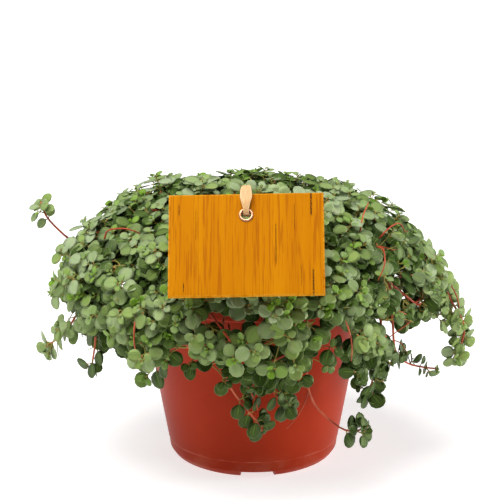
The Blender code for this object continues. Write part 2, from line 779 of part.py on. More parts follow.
def clear_of(made, stems):
    """A bed that holds the finished pieces and every bare stem."""
    bed = Bed()
    for item in made:
        corners = [corner.co.copy() for corner in item.data.vertices]
        bed.add(item.name, corners, [tuple(face.vertices) for face in item.data.polygons])
    for name, axes in stems.items():
        for number, axis in enumerate(axes):
            bed.add(f"{name} {number}", *axis.tube())
    return bed


def make_stems(finish, stems):
    """One node for each leafy stem: its side shoots are joined to it by one union."""
    for name, axes in stems.items():
        stem = add_object(name, mesh_from(name, *axes[0].leafy()), finish)
        shoots = [add_object("shoot", mesh_from("shoot", *axis.leafy())) for axis in axes[1:]]
        if shoots:
            combine(stem, shoots, "UNION")


def main():
    """Build every piece."""
    for item in list(bpy.data.objects):
        bpy.data.objects.remove(item, do_unlink=True)
    made = [make_pot(material("pot_plastic", (0.42, 0.09, 0.05), 0.45))]
    made.append(make_tag(material("tag_wood", (0.55, 0.24, 0.04), 0.6)))
    made.append(make_eyelet(material("eyelet_metal", (0.60, 0.38, 0.28), 0.35, 1.0)))
    made.append(make_loop(material("strap_raffia", (0.62, 0.47, 0.30), 0.7)))
    stems = tier_axes(random.Random(SEED)) | sprig_axes()
    grow_leaves(stems, clear_of(made, stems))
    make_stems(material("foliage", (0.23, 0.36, 0.20), 0.6), stems)
    roots = [sum(axes[0].rings[0], Vector()) / 4 for axes in stems.values()]
    make_soil(material("compost", (0.05, 0.035, 0.025), 0.95), roots)


main()
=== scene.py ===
"""Looks of the round-leaved trailing plant: fine leaves and stems, pot, soil, wooden tag and strap.

The file is laid out as an add-on and run as a script.  Lengths are in metres unless a comment says
otherwise, +Z is up and the front, where the tag hangs, faces -Y.  Each surface is worked out with
numpy as a grid of two parameters or as a profile carried along a path.
"""

import math
import random
from collections import namedtuple

import bpy
import numpy as np
from mathutils import Matrix, Vector


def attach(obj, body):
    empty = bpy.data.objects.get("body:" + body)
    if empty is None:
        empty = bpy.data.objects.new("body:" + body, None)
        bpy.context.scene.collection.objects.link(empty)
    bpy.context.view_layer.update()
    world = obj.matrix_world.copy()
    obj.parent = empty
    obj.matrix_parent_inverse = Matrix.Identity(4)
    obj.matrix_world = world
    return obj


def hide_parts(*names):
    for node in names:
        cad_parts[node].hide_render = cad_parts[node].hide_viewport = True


bl_info = {
    "name": "Round-leaved trailing plant",
    "version": (1, 0, 0),
    "blender": (4, 5, 0),
    "location": "View3D > Sidebar > Plant",
    "description": "Builds the fine leaves, stems, pot, soil, tag and strap around the CAD frame",
    "category": "Add Mesh",
}

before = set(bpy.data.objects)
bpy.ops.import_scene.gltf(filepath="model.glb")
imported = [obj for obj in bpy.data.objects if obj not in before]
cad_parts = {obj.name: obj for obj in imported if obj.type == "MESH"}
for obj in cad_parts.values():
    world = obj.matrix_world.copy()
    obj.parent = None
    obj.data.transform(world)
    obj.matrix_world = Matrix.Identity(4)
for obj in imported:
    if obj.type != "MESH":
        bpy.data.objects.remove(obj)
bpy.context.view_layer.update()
MM = 0.001
FULL_TURN = 2 * math.pi

# The plant's growth rule, as the solids have it; falls, lags and turns are in degrees
SEED = 41
DOME_MIDDLE = 0.088
DOME_RISE = 0.0545
DOME_REACH = 0.0978
DOME_POWER = 2.22
LEFT_SHIFT = 0.0012
BACK_SHIFT = 0.0015
CROWN_LEAN = 0.005
CURTAIN_TUCK = 0.13
CURTAIN_FALL = 45
STEM_DEPTH = 0.0110
ROOT_HEIGHT = 0.0880 - 0.009
ROOT_STAND = 0.016
OUTER_ROOT = 0.040
RIM_RADIUS = 0.060
LIP = 0.0019
POT_HEIGHT = 0.100
RIM_CLEARANCE = 0.0035
ARCH_LAG = 22
SHOOT_LAG = 7
SHOOT_LEAN = 0.45
SHOOT_WANDER = 0.20
SHOOT_SPREAD = 0.25
ELBOW = 0.0026
TIP_LENGTH = 0.0016
TIPS = 3
# How far the curtain hangs at some angles round the pot, in millimetres
HEM = ((-180, 18), (-157, 14), (-145, 12), (-134, 29), (-120, 16), (-95, 15), (-62, 24), (-47, 24),
       (-34, 11), (-22, 6), (10, 7), (40, 22), (90, 34), (140, 30), (180, 18))

Tier = namedtuple("Tier", "name count turn root depth start end size")
TIERS = (
    Tier("crown_stem", 4, 38, 0.011, 0.010, 8, 28, 1.12),
    Tier("upper_stem", 8, 12, 0.023, 0.019, 36, 58, 1.05),
    Tier("shoulder_stem", 10, 2, 0.034, 0.019, 65, 88, 1.00),
    Tier("curtain_stem", 11, 20.2, 0.046, 0.020, 96, 132, 1.00),
)
Shoot = namedtuple("Shoot", "base tip out spin size")

# Single sprigs: the leafy share of the solid's stem, the way from the foot in the soil to the tip in
# millimetres, the share of that leafy length that has leaves here, and their size
Sprig = namedtuple("Sprig", "name leafy way kept leaf", defaults=(1.0, 0.92))
SPRIGS = (
    Sprig("left_sprig", 0.32, (
        (-48.5, 10.5, 79), (-49, 10.5, 92), (-58, 9, 106), (-80, 5, 106), (-90, 3, 109.5),
        (-97, 1, 116), (-103, 0, 123.5), (-105.5, 0, 131)), 0.42, 0.72),
    Sprig("right_sprig", 0.50, (
        (49.3, 3.4, 79), (49.6, 3.4, 92), (60.5, 3, 104.5), (80, -2, 108), (91, -7, 98),
        (98, -11, 84), (105, -11, 71), (104.5, -10.5, 61), (100, -10, 51)), 0.95, 0.76),
    Sprig("right_low_sprig", 0.32, (
        (42.9, -24.8, 79), (43.2, -25, 92), (53, -30.5, 104.5), (66, -34, 98), (68, -33, 80),
        (70, -28, 63), (76, -23, 54.5), (85, -20, 51), (92, -18, 49.5)), 0.60, 0.52),
    Sprig("right_inner_sprig", 0.45, (
        (26.2, -42, 79), (26.4, -42.3, 92), (32.5, -52, 104.5), (46, -60, 97), (56, -54, 75),
        (58, -47, 57), (56, -43, 43))),
    Sprig("bottom_sprig", 0.22, (
        (17, -46.5, 79), (17, -46.7, 92), (20, -54, 106), (25, -66, 92), (25, -67, 68),
        (28, -66, 51), (38, -65, 39), (47, -64, 34), (55, -63, 36)), 0.34),
    Sprig("front_sprig", 0.22, (
        (-6, -49.1, 79), (-6, -49.5, 92), (-8, -57, 106), (-14, -68.5, 93), (-15, -68.5, 72),
        (-11, -67, 58), (-4, -65, 47), (1, -64, 40), (4, -63, 34)), 0.72),
    Sprig("middle_sprig", 0.35, (
        (1.7, -49.5, 79), (1.7, -49.7, 92), (3, -57.5, 106), (4, -70, 94), (4, -70, 77),
        (9, -67, 57), (17, -64, 45))),
    Sprig("front_left_sprig", 0.40, (
        (-45.9, -18.5, 79), (-46.2, -18.6, 92), (-56, -24, 104.5), (-70, -32, 97), (-76, -34, 80),
        (-78, -32, 66), (-80, -29, 54))),
    Sprig("left_low_sprig", 0.40, (
        (-48.2, -11.1, 79), (-48.5, -11.2, 92), (-58, -13, 105.5), (-71, -18, 100),
        (-83, -21, 86), (-92, -18, 71), (-99, -12, 62.5), (-105, -8, 58))),
    Sprig("back_left_sprig", 0.45, (
        (-34.5, 34.5, 79), (-34.8, 34.8, 92), (-42, 42, 106), (-55, 54, 98), (-60, 60, 78),
        (-58, 60, 60), (-54, 56, 48))),
    Sprig("back_right_sprig", 0.45, (
        (16.9, 46.5, 79), (17, 46.8, 92), (21, 57, 104.5), (26, 70, 98), (28, 78, 78), (27, 78, 60),
        (24, 74, 48))),
    Sprig("tag_stem", 0.35, (
        (-20, -30, 79), (-20, -30.5, 92), (-19, -37, 108), (-19, -47, 126), (-18, -56, 141),
        (-12, -61, 149), (-3.7, -62.2, 151.2), (7, -61.5, 151), (20, -57, 147), (31, -50, 143),
        (38, -43, 142))),
)

# Runs of stem seen in front of a node's leaves: radius, leaf pairs at the tip, and way in millimetres
STRAYS = {
    "front_sprig": (
        (0.50, 0, ((-12, -62, 88), (-9, -69.5, 76), (-5, -69, 64), (0.5, -66, 51), (2, -64, 45))),),
    "bottom_sprig": ((0.38, 0, ((27, -62, 60), (25, -66, 51), (20.5, -66.5, 42), (15.8, -65.5, 36))),),
    "front_left_sprig": (
        (0.50, 0, ((-54, -66, 98), (-55.5, -77, 94), (-56, -79, 86), (-55, -76, 78), (-53, -70, 74))),),
    "right_sprig": (
        (0.48, 0, ((72, -8, 106), (84, -14, 106), (94, -15, 98), (101, -14, 86), (103, -11, 74))),),
    "right_inner_sprig": ((0.45, 0, ((40, -70, 100), (44, -81, 93), (46, -82, 84), (46, -75, 74))),),
    "right_low_sprig": (
        (0.42, 0, ((54, -50, 99), (68, -52, 92), (76, -46, 85), (70, -38, 76), (62, -38, 70))),
        (0.30, 2, ((69, -28, 68), (73, -27, 66), (76, -27, 61))),
        (0.30, 2, ((67.5, -33, 84), (72, -31, 82), (76, -30, 77)))),
    "upper_stem_06": ((0.50, 0, ((-72, -34, 122), (-69.5, -40, 128), (-60.5, -46, 130.5), (-54, -46, 128))),),
    "upper_stem_08": (
        (0.45, 0, ((51, -31, 122), (51.5, -35, 127), (53, -31, 133), (56, -20, 136))),
        (0.42, 0, ((61, -30, 121), (66, -27, 125.5), (71.5, -18, 125), (75, -10, 118))),
        (0.45, 0, ((59, -41, 120), (62, -50, 121), (62, -56, 115), (59, -57, 108)))),
}

# Gaps between the leaves as the photo shows them: the leaves nearer than a depth go.  Each gap is
# given on the upright plane through the pot's axis, by its place across and up and its radius, all
# in millimetres.
WINDOWS = (
    (-40, ((-13, 68, 8.5), (-36, 53, 6), (44, 64, 6.5), (13, 55, 5), (-23, 44, 5), (31, 48, 5))),
    (99, ((62, 85, 5), (72, 79, 4.6), (63, 69, 5.5), (71, 63, 7), (82, 80, 4), (83, 63, 9.5), (95, 47, 4.5),
          (71, 95, 4.2), (66, 107, 4), (-93, 73, 6.5), (-85, 56, 8), (-70, 49, 8))),
)

# Further clusters that close thin places in a node or stand out of it: angle and fall on the foliage
# surface in degrees, how far out in millimetres, the number of small shoots and the spread
CLOSERS = {
    "crown_stem_01": ((46, 27, -4, 6, 0.9), (12, 17, -4, 4, 0.7)),
    "crown_stem_02": ((86, 27, -4, 5, 0.8), (126, 30, -4, 7, 0.9)),
    "crown_stem_03": ((-160, 12, 1, 4, 0.6), (-136, 24, -4, 5, 0.8)),
    "crown_stem_04": ((-52, 26, -4, 7, 0.9),),
    "upper_stem_01": ((28, 38, -4, 7, 0.9),),
    "upper_stem_02": ((49, 42, -4, 6, 0.8),),
    "upper_stem_03": ((84, 37, -3, 5, 0.8), (110, 37, -3, 5, 0.8)),
    "upper_stem_06": ((-130, 48, -4, 7, 0.9), (-127, 53, -8, 6, 0.9)),
    "upper_stem_07": ((-60, 58, -4, 7, 0.9), (-55, 67, -4, 7, 0.9)),
    "upper_stem_08": ((-17, 35, 2, 3, 0.5), (-42, 47, -4, 7, 0.9), (-37, 52, -8, 6, 0.9)),
    "shoulder_stem_06": ((-158, 74, 0, 3, 0.5), (-155, 84, 1, 3, 0.5)),
    "shoulder_stem_07": ((-130, 94, -4, 7, 0.9),),
    "shoulder_stem_08": ((-122, 84, -4, 7, 0.9), (-118, 96, -4, 7, 0.9)),
    "shoulder_stem_09": ((-58, 76, -4, 7, 0.9), (-54, 90, -4, 7, 0.9)),
    "shoulder_stem_10": ((-44, 82, -4, 7, 0.9), (-12, 80, 0, 3, 0.5)),
    "curtain_stem_06": ((-164, 112, 1, 2, 0.4),),
    "curtain_stem_11": ((-12, 157, 0, 3, 0.45), (-13, 147, 0, 3, 0.45), (-8, 138, 0, 3, 0.45)),
}

# A leaf's sections from its foot: share of the length, of half the width, and of the thickness
BLADE = np.array(((0.00, 0.13, 0.9), (0.10, 0.58, 1.0), (0.32, 0.95, 1.0), (0.60, 1.00, 0.9),
                  (0.86, 0.72, 0.7), (1.00, 0.25, 0.3)))
# Round a section: place across, and side of the blade (1 is the upper face)
RIM = np.array(((-1.0, 0.0), (-0.45, 1.0), (0.45, 1.0), (1.0, 0.0), (0.45, -1.0), (-0.45, -1.0)))
LEAF_SIDES = len(RIM)
STALK_SECTIONS = 2
LEAF_SECTIONS = len(BLADE) + STALK_SECTIONS
LEAF_LENGTH = 0.0087
LEAF_WIDTH_SHARE = 1.03
LEAF_THICK = 0.00042
STALK_RADIUS = 0.00026
# Leaf pairs from a shoot's tip: distance from the tip in millimetres, length share, rise in degrees
# and youth
PAIRS = np.array(((0.3, 0.22, 62, 1.0), (1.4, 0.52, 38, 0.75), (3.4, 0.90, 18, 0.25),
                  (7.4, 1.00, 8, 0.05), (12.5, 1.00, 4, 0.0)))
# Along a sprig: millimetres between leaf pairs, and metres between small shoots
PAIR_GAP = 6.5
SHOOT_GAP = 0.0062
# The small shoots that stand for one large rosette of the solids: how many, how many in front of the
# pot, the spread of their disc and the radius it is bent to, points along a shoot, and its sway
SHOOTS_PER_TIP = 7
FRONT_SHOOTS = 5
SHOOT_DISC = 0.0140
DISC_BEND = 0.07
SHOOT_POINTS = 9
SHOOT_SWAY = 0.0007
GOLDEN_ANGLE = 2.39996
# How leaves vary: their turn in radians, the share that fell, and how far grown ones turn to the light
LEAF_TURN = 0.16
LEAVES_LOST = 0.03
TURNED = 0.80
# Leaves go that come this near to the tag: past its edges, behind its middle and in front of it
BOARD_MARGIN = 0.0004
BOARD_BEHIND = 0.0014
BOARD_BEFORE = 0.03
# Stems and small shoots: length of a step, sides and radii
STEM_STEP = 0.003
MAIN_SIDES = 8
SHOOT_SIDES = 6
TIER_STEM_RADIUS = 0.00095
SPRIG_STEM_RADIUS = 0.00080
LINK_RADIUS = 0.0006
TIER_SHOOT_RADIUS = 0.00036
SPRIG_SHOOT_RADIUS = 0.00035
# First seeds of the fine parts' random draws
TIER_SEED, SPRIG_SEED, SOIL_SEED = 1000, 2000, 7
# Finish numbers of a leafy piece
UPPER_FACE, UNDER_FACE, STEM = 0, 1, 2

# The pot: its wall runs straight from the ring line to the rim band; rounding of its edges, columns,
# and how closely more columns stand at a notch's sides
EDGE_ROUNDING = 0.0006
POT_COLUMNS = 144
NOTCH_COLUMNS = np.linspace(-0.016, 0.016, 9)
RING_RADIUS = 0.0434
RING_HEIGHT = 0.0094
WALL_RISE = 0.0776
WALL_FLARE = 0.0138
WALL = 0.0013
FLOOR_UNDER = 0.0036
FLOOR_TOP = 0.0052
NOTCHES = tuple(math.radians(-87 + 120 * index) for index in range(3))
NOTCH_HALF_ANGLE = 0.0085 / 0.0392
NOTCH_HEIGHT = 0.0034
DRAIN_COUNT = 5
DRAIN_CIRCLE = 0.022
DRAIN_RADIUS = 0.0035
DRAIN_SIDES = 24

# Tag, eyelet and loop; the loop's way and the eyelet's section are in millimetres
TAG_CENTRE = Vector((-0.0034, -0.0815, 0.1330))
TAG_WIDTH = 0.0720
TAG_HEIGHT = 0.0510
TAG_THICK = 0.0020
TAG_LEAN = math.radians(39.5)
TAG_ROLL = math.radians(-1.8)
TAG_YAW = math.radians(-2.5)
TAG_EDGE = 0.0005
TAG_HOLE_RISE = TAG_HEIGHT / 2 - 0.0108
TAG_HOLE_RADIUS = 0.0029
LOOP_WIDTH = 0.0056
LOOP_NARROW = 0.0026
LOOP_WAY = ((0.0, 0.5), (2.2, 0.9), (3.4, 4.0), (3.4, 8.0), (3.0, 11.5), (1.6, 14.2), (-0.8, 15.3),
            (-3.4, 14.3), (-5.6, 11.6), (-6.4, 8.0), (-5.6, 4.2), (-2.8, 1.1))
EYELET_HALF = ((2.2, 0.9), (2.25, 1.35), (2.45, 1.62), (2.8, 1.70), (3.15, 1.60), (3.4, 1.38), (3.3, 1.30),
               (2.9, 1.31), (2.6, 1.26), (2.6, 0.9))

# Splits in the board: place across, lower and upper end, and half width
CRACKS = ((0.0302, 0.013, 0.030, 0.00062), (0.0308, -0.030, -0.012, 0.00056),
          (0.0137, -0.011, 0.011, 0.00028), (-0.0312, 0.014, 0.021, 0.00030),
          (-0.0287, -0.024, -0.018, 0.00032), (0.0250, -0.022, -0.010, 0.00014),
          (-0.0232, 0.002, 0.019, 0.00012), (0.0222, 0.006, 0.021, 0.00012))

# Camera, measured from the photo's frame
CAMERA_FAR = 1.100
CAMERA_RISE = math.radians(16.8)
CAMERA_AIM = (-0.0017, 0.0, 0.106)
CAMERA_LENS = 158.4


# Growth rule


def round_power(value, power):
    """A signed power, for the superellipse."""
    return math.copysign(abs(value) ** power, value)


def hem_drop(azimuth):
    """How far the curtain hangs at an angle, by straight lines between the angles of the table."""
    turn = (azimuth + 180) % 360 - 180
    for (low, start), (high, stop) in zip(HEM, HEM[1:]):
        if turn <= high:
            return MM * (start + (stop - start) * (turn - low) / (high - low))


def polar(radius, azimuth, height):
    """A point from its distance to the axis, its angle and its height."""
    turn = math.radians(azimuth)
    return Vector((radius * math.cos(turn), radius * math.sin(turn), height))


def foliage_point(azimuth, fall, depth):
    """A point under the foliage surface: a superellipse to 90 degrees of fall, then a curtain."""
    turn = math.radians(azimuth)
    reach = DOME_REACH - LEFT_SHIFT * math.cos(turn) + BACK_SHIFT * math.sin(turn) - depth
    if fall <= 90:
        power = 2 / DOME_POWER
        radius = reach * round_power(math.sin(math.radians(fall)), power)
        height = DOME_MIDDLE + (DOME_RISE - depth) * round_power(math.cos(math.radians(fall)), power)
    else:
        share = (fall - 90) / CURTAIN_FALL
        radius = reach * (1 - CURTAIN_TUCK * share * share)
        height = DOME_MIDDLE - hem_drop(azimuth) * share
    lean = CROWN_LEAN * max(0.0, height - DOME_MIDDLE) / DOME_RISE
    return Vector((radius * math.cos(turn) - lean, radius * math.sin(turn), height))


def foliage_out(azimuth, fall):
    """The outward direction of the foliage surface, from two small steps along it."""
    here = foliage_point(azimuth, fall, 0)
    along = foliage_point(azimuth, fall + 1, 0) - here
    return along.cross(foliage_point(azimuth + 1, fall, 0) - here).normalized()


def tier_stems(tier, draw):
    """Each stem of a tier: its name, its way from the soil, and its shoots, drawn in fixed order."""
    sector = 360 / tier.count
    for index in range(tier.count):
        azimuth = tier.turn + sector * index + draw.uniform(-0.03, 0.03) * sector
        side = 1 if index % 2 else -1
        root = polar(tier.root * draw.uniform(0.95, 1.03), azimuth, ROOT_HEIGHT)
        falls = [tier.start + (tier.end - tier.start) * step / (TIPS - 1) for step in range(TIPS)]
        route = [root, root + Vector((0, 0, ROOT_STAND))]
        if tier.root > OUTER_ROOT:
            route.append(polar(RIM_RADIUS - LIP / 2, azimuth, POT_HEIGHT + RIM_CLEARANCE))
        if falls[0] > ARCH_LAG:
            route.append(foliage_point(azimuth, falls[0] - ARCH_LAG, tier.depth))
        shoots = []
        for fall in falls:
            turn = azimuth + side * sector * (SHOOT_SPREAD + draw.uniform(-0.04, 0.04))
            out = foliage_out(turn, fall)
            tip = foliage_point(turn, fall, 0.003 + draw.uniform(-0.002, 0.003))
            base = foliage_point(azimuth, max(fall - SHOOT_LAG, fall / 2), STEM_DEPTH)
            out = out + (tip - base).normalized() * SHOOT_LEAN
            out = (out + Vector([draw.uniform(-SHOOT_WANDER, SHOOT_WANDER) for _ in range(3)])).normalized()
            size = tier.size * draw.uniform(0.94, 1.04)
            shoots.append(Shoot(base, tip, out, draw.uniform(0, math.pi / 2), size))
            side = -side
        route += [shoot.base for shoot in shoots[:-1]]
        last = shoots[-1]
        route.append(last.tip - last.out * (TIP_LENGTH + ELBOW))
        route.append(last.tip - last.out * TIP_LENGTH)
        yield f"{tier.name}_{index + 1:02d}", route, shoots


# Vector helpers


def unit(vectors):
    """Vectors divided by their lengths."""
    return vectors / np.maximum(np.linalg.norm(vectors, axis=-1, keepdims=True), 1e-12)


def flat_to(vectors, normals):
    """The unit part of the vectors at right angles to the normals."""
    return unit(vectors - normals * np.sum(vectors * normals, axis=-1, keepdims=True))


def part_way(value, start, span):
    """How far a value has gone from a start along a span, from 0 to 1."""
    return np.clip((value - start) / span, 0, 1)


def even_turns(count):
    """Angles evenly round a full turn, from 0."""
    return np.linspace(0, FULL_TURN, count, endpoint=False)


def smooth_way(points, spacing, closed=False):
    """A Catmull-Rom curve through the points, sampled about a spacing apart.

    Between points b and c, with neighbours a and d and share t, the place is half of
    2b + (c - a)t + (2a - 5b + 4c - d)t^2 + (3b - a - 3c + d)t^3.
    """
    points = np.asarray(points, float)
    if closed:
        points = np.vstack([points[-1:], points, points[:2]])
    else:
        points = np.vstack([2 * points[0] - points[1], points, 2 * points[-1] - points[-2]])
    pieces = []
    for a, b, c, d in zip(points, points[1:], points[2:], points[3:]):
        count = max(2, int(round(np.linalg.norm(c - b) / spacing)))
        t = (np.arange(count) / count)[:, None]
        pieces.append((2 * b + (c - a) * t + (2 * a - 5 * b + 4 * c - d) * t ** 2
                       + (3 * b - a - 3 * c + d) * t ** 3) / 2)
    if not closed:
        pieces.append(points[-2:-1])
    return np.vstack(pieces)


def headings(ways, closed=False):
    """Unit directions along ways of shape (..., count, 3), by central differences."""
    if closed:
        return unit(np.roll(ways, -1, axis=-2) - np.roll(ways, 1, axis=-2))
    return unit(np.gradient(ways, axis=-2))


def headings_and_sides(ways):
    """Headings along ways, and directions square to them that stay least bent along each way.

    These lie near the last singular vector of the way's headings, which is the direction most
    nearly square to all of them.
    """
    ahead = headings(ways)
    least_bent = np.linalg.svd(ahead, full_matrices=False)[2][..., -1, :]
    return ahead, flat_to(np.broadcast_to(least_bent[:, None], ways.shape), ahead)


# Meshes


Patch = namedtuple("Patch", "points faces uv tint stuff")


def joined(patches):
    """Several patches as one: their arrays end to end, with the face numbers moved on."""
    starts = np.cumsum([0] + [len(patch.points) for patch in patches[:-1]])
    faces = np.vstack([patch.faces + start for patch, start in zip(patches, starts)])
    rest = [np.concatenate([getattr(patch, part) for patch in patches]) for part in ("uv", "tint", "stuff")]
    return Patch(np.vstack([patch.points for patch in patches]), faces, *rest)


def plain_patch(points, faces):
    """A patch with its own flat UV, a neutral tint and one finish; grids of points are flattened."""
    points = points.reshape(-1, 3)
    tint = np.tile((0.5, 0.5, 0.5, 1.0), (len(points), 1))
    return Patch(points, faces, points[:, :2] * 10, tint, np.zeros(len(faces), int))


def piece_from(name, patch, finishes, crease=None):
    """An object from a patch of four-cornered faces, with its UV map, tint attribute and finishes."""
    mesh = bpy.data.meshes.new(name)
    count = len(patch.faces)
    mesh.vertices.add(len(patch.points))
    mesh.vertices.foreach_set("co", patch.points.astype(np.float32).ravel())
    mesh.loops.add(count * 4)
    mesh.loops.foreach_set("vertex_index", patch.faces.astype(np.int32).ravel())
    mesh.polygons.add(count)
    mesh.polygons.foreach_set("loop_start", np.arange(0, count * 4, 4, dtype=np.int32))
    mesh.polygons.foreach_set("material_index", patch.stuff.astype(np.int32))
    mesh.update(calc_edges=True)
    layer = mesh.uv_layers.new(name="UVMap")
    layer.data.foreach_set("uv", patch.uv[patch.faces.ravel()].astype(np.float32).ravel())
    tint = mesh.color_attributes.new("tint", "FLOAT_COLOR", "POINT")
    tint.data.foreach_set("color", patch.tint.astype(np.float32).ravel())
    mesh.shade_smooth()
    if crease is not None:
        mesh.set_sharp_from_angle(angle=math.radians(crease))
    for finish in finishes:
        mesh.materials.append(finish)
    item = bpy.data.objects.new(name, mesh)
    bpy.context.scene.collection.objects.link(item)
    return item


def settle(item, slot, *nodes):
    """Let a piece ride on the root and stand for its CAD nodes, which are hidden; the slot is not used."""
    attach(item, "root")
    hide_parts(*nodes)


def caps(sides, first, last):
    """The two ends of a tube with an even number of sides, each a fan of four-cornered faces."""
    at = np.arange(0, sides - 2, 2)
    fan = np.stack([np.zeros_like(at), at + 1, at + 2, at + 3], axis=1) % sides
    return np.vstack([first + fan[:, ::-1], last + fan])


def grid_faces(rows, columns, round_rows=False):
    """Faces of a grid whose columns close round, and whose rows do too if asked."""
    row = np.arange(rows if round_rows else rows - 1)[:, None]
    column = np.arange(columns)[None, :]
    after = (row + 1) % rows
    beside = (column + 1) % columns
    return np.stack(np.broadcast_arrays(row * columns + column, row * columns + beside,
                                        after * columns + beside, after * columns + column),
                    axis=-1).reshape(-1, 4)


def tube_faces(count, rows, sides):
    """Faces of several capped tubes whose points follow one another."""
    one = np.vstack([grid_faces(rows, sides), caps(sides, 0, (rows - 1) * sides)])
    return (one[None] + (np.arange(count) * rows * sides)[:, None, None]).reshape(-1, 4)


def turned_grid(profile, turns):
    """A profile of (radius, height) turned round the upright axis: (r cos a, r sin a, z)."""
    profile = np.asarray(profile)
    x = profile[:, :1] * np.cos(turns)
    y = profile[:, :1] * np.sin(turns)
    return np.stack([x, y, np.broadcast_to(profile[:, 1:], x.shape)], axis=-1)


def tube_patch(points, uv, tint, stuff):
    """A patch of capped tubes from a grid of points and a tint for each, and their finish numbers."""
    count, rows, sides = points.shape[:3]
    faces = tube_faces(count, rows, sides)
    uv = np.broadcast_to(np.stack(np.broadcast_arrays(*uv), axis=-1), (count, rows, sides, 2))
    tint = np.broadcast_to(tint[:, None, None], (count, rows, sides, 4))
    return Patch(points.reshape(-1, 3), faces, uv.reshape(-1, 2), tint.reshape(-1, 4),
                 np.resize(stuff, len(faces)))


def tubes(ways, radii, sides, tint):
    """Round tubes: a ring at each point p of radius r is p + r(cos(a) s + sin(a) (h x s)).

    h is the heading and s the direction square to it that stays least bent along the way.
    Ways have the shape (tubes, points, 3) and radii (tubes, points).
    """
    ahead, side = headings_and_sides(ways)
    other = np.cross(ahead, side)
    turn = FULL_TURN * np.arange(sides) / sides
    ring = np.cos(turn)[:, None] * side[:, :, None] + np.sin(turn)[:, None] * other[:, :, None]
    points = ways[:, :, None] + ring * radii[:, :, None, None]
    along = np.linalg.norm(np.diff(ways, axis=1), axis=2).cumsum(axis=1)
    along = np.concatenate([np.zeros((len(ways), 1)), along], axis=1) * 100
    return tube_patch(points, (turn[None, None] / FULL_TURN, along[:, :, None]), tint, STEM)


def leaves(feet, stalk, normal, length, stalk_length, tint, draw):
    """Round fleshy leaves on short stalks, each one six-sided profile carried along its leaf.

    With x across the blade, y along it and z its normal, a section at share v of the length l has
    the points  x w u + y l v + z (c w u^2 - b l v^2 + t k / 2), where w is the half width there,
    u the place across, c the cup, b the droop, t the side of the blade and k its thickness.
    Two narrow round sections before the blade make the stalk.
    """
    count = len(feet)
    along = flat_to(stalk, normal)
    across = np.cross(along, normal)
    half = length * LEAF_WIDTH_SHARE / 2 * draw.uniform(0.93, 1.05, count)
    cup = draw.uniform(0.02, 0.22, count)
    droop = draw.uniform(-0.05, 0.16, count)
    stalk_up = np.cross(across, stalk)
    points = []
    for centre in (feet, feet + stalk * (stalk_length * 0.55)[:, None]):
        points.append(centre[:, None] + across[:, None] * (RIM[:, :1] * STALK_RADIUS)
                      + stalk_up[:, None] * (RIM[:, 1:] * STALK_RADIUS * 0.85))
    start = feet + stalk * (stalk_length * 0.75)[:, None] + along * (stalk_length * 0.25)[:, None]
    for share, wide, thick in BLADE:
        centre = start + along * (length * share)[:, None]
        rise = (cup * half * wide)[:, None] * RIM[:, 0] ** 2 - (droop * length * share ** 2)[:, None]
        rise = rise + RIM[:, 1] * thick * LEAF_THICK / 2
        spread = RIM[:, 0] * (half * wide)[:, None]
        points.append(centre[:, None] + across[:, None] * spread[..., None]
                      + normal[:, None] * rise[..., None])
    stuff = np.full((LEAF_SECTIONS - 1, LEAF_SIDES), UPPER_FACE)
    stuff[:, LEAF_SIDES // 2:] = UNDER_FACE
    stuff[:STALK_SECTIONS] = STEM
    stuff = [*stuff.ravel(), STEM, STEM, UPPER_FACE, UPPER_FACE]
    level = np.array([-0.3, -0.15, *BLADE[:, 0]])
    return tube_patch(np.stack(points, axis=1), ((RIM[:, 0] + 1)[None] / 2, level[:, None]), tint, stuff)


# Foliage


def surface_normal(points):
    """About the foliage's outward direction: the gradient of the superellipsoid, sideways below."""
    flat = points * (1, 1, 0)
    out = unit(flat) * (np.linalg.norm(flat, axis=-1, keepdims=True) / DOME_REACH) ** (DOME_POWER - 1)
    up = np.clip((points[..., 2:] - DOME_MIDDLE) / DOME_RISE, 0, None) ** (DOME_POWER - 1)
    return unit(out / DOME_REACH + np.concatenate([up * 0, up * 0, up], axis=-1) / DOME_RISE)


def sunk(points):
    """About how deep points lie under the foliage surface, from the superellipsoid's level there."""
    up = np.clip((points[:, 2] - DOME_MIDDLE) / DOME_RISE, 0, None)
    across, back = points[:, 0] + CROWN_LEAN * up, points[:, 1]
    flat = np.hypot(across, back)
    flat = flat / (DOME_REACH + (BACK_SHIFT * back - LEFT_SHIFT * across) / np.maximum(flat, 1e-6))
    level = (flat ** DOME_POWER + up ** DOME_POWER) ** (1 / DOME_POWER)
    return (1 - level) * DOME_REACH


def runners(start, end, out, draw):
    """Curved ways from start to end that arrive along out: (1-t)^2 s + 2t(1-t) c + t^2 e."""
    reach = np.linalg.norm(end - start, axis=1, keepdims=True)
    middle = end - out * reach * 0.5 + draw.normal(0, SHOOT_SWAY, start.shape)
    t = np.linspace(0, 1, SHOOT_POINTS)[None, :, None]
    return (1 - t) ** 2 * start[:, None] + 2 * t * (1 - t) * middle[:, None] + t ** 2 * end[:, None]


def followed(ways):
    """Headings and sides along ways, and the distance of each point to its way's tip."""
    steps = np.linalg.norm(np.diff(ways, axis=1), axis=2)
    to_tip = np.concatenate([np.cumsum(steps[:, ::-1], axis=1)[:, ::-1], np.zeros((len(ways), 1))], axis=1)
    return *headings_and_sides(ways), to_tip


def along_way(ways, ahead, side, to_tip, back):
    """The place, heading and side direction at a distance back from each way's tip, by linear shares."""
    number = np.arange(len(ways))
    after = np.clip((to_tip >= back[:, None]).sum(axis=1), 1, ways.shape[1] - 1)
    low, high = to_tip[number, after - 1], to_tip[number, after]
    share = np.clip((low - back) / np.maximum(low - high, 1e-9), 0, 1)[:, None]
    place = ways[number, after - 1] * (1 - share) + ways[number, after] * share
    heading = unit(ahead[number, after - 1] * (1 - share) + ahead[number, after] * share)
    return place, heading, flat_to(side[number, after], heading)


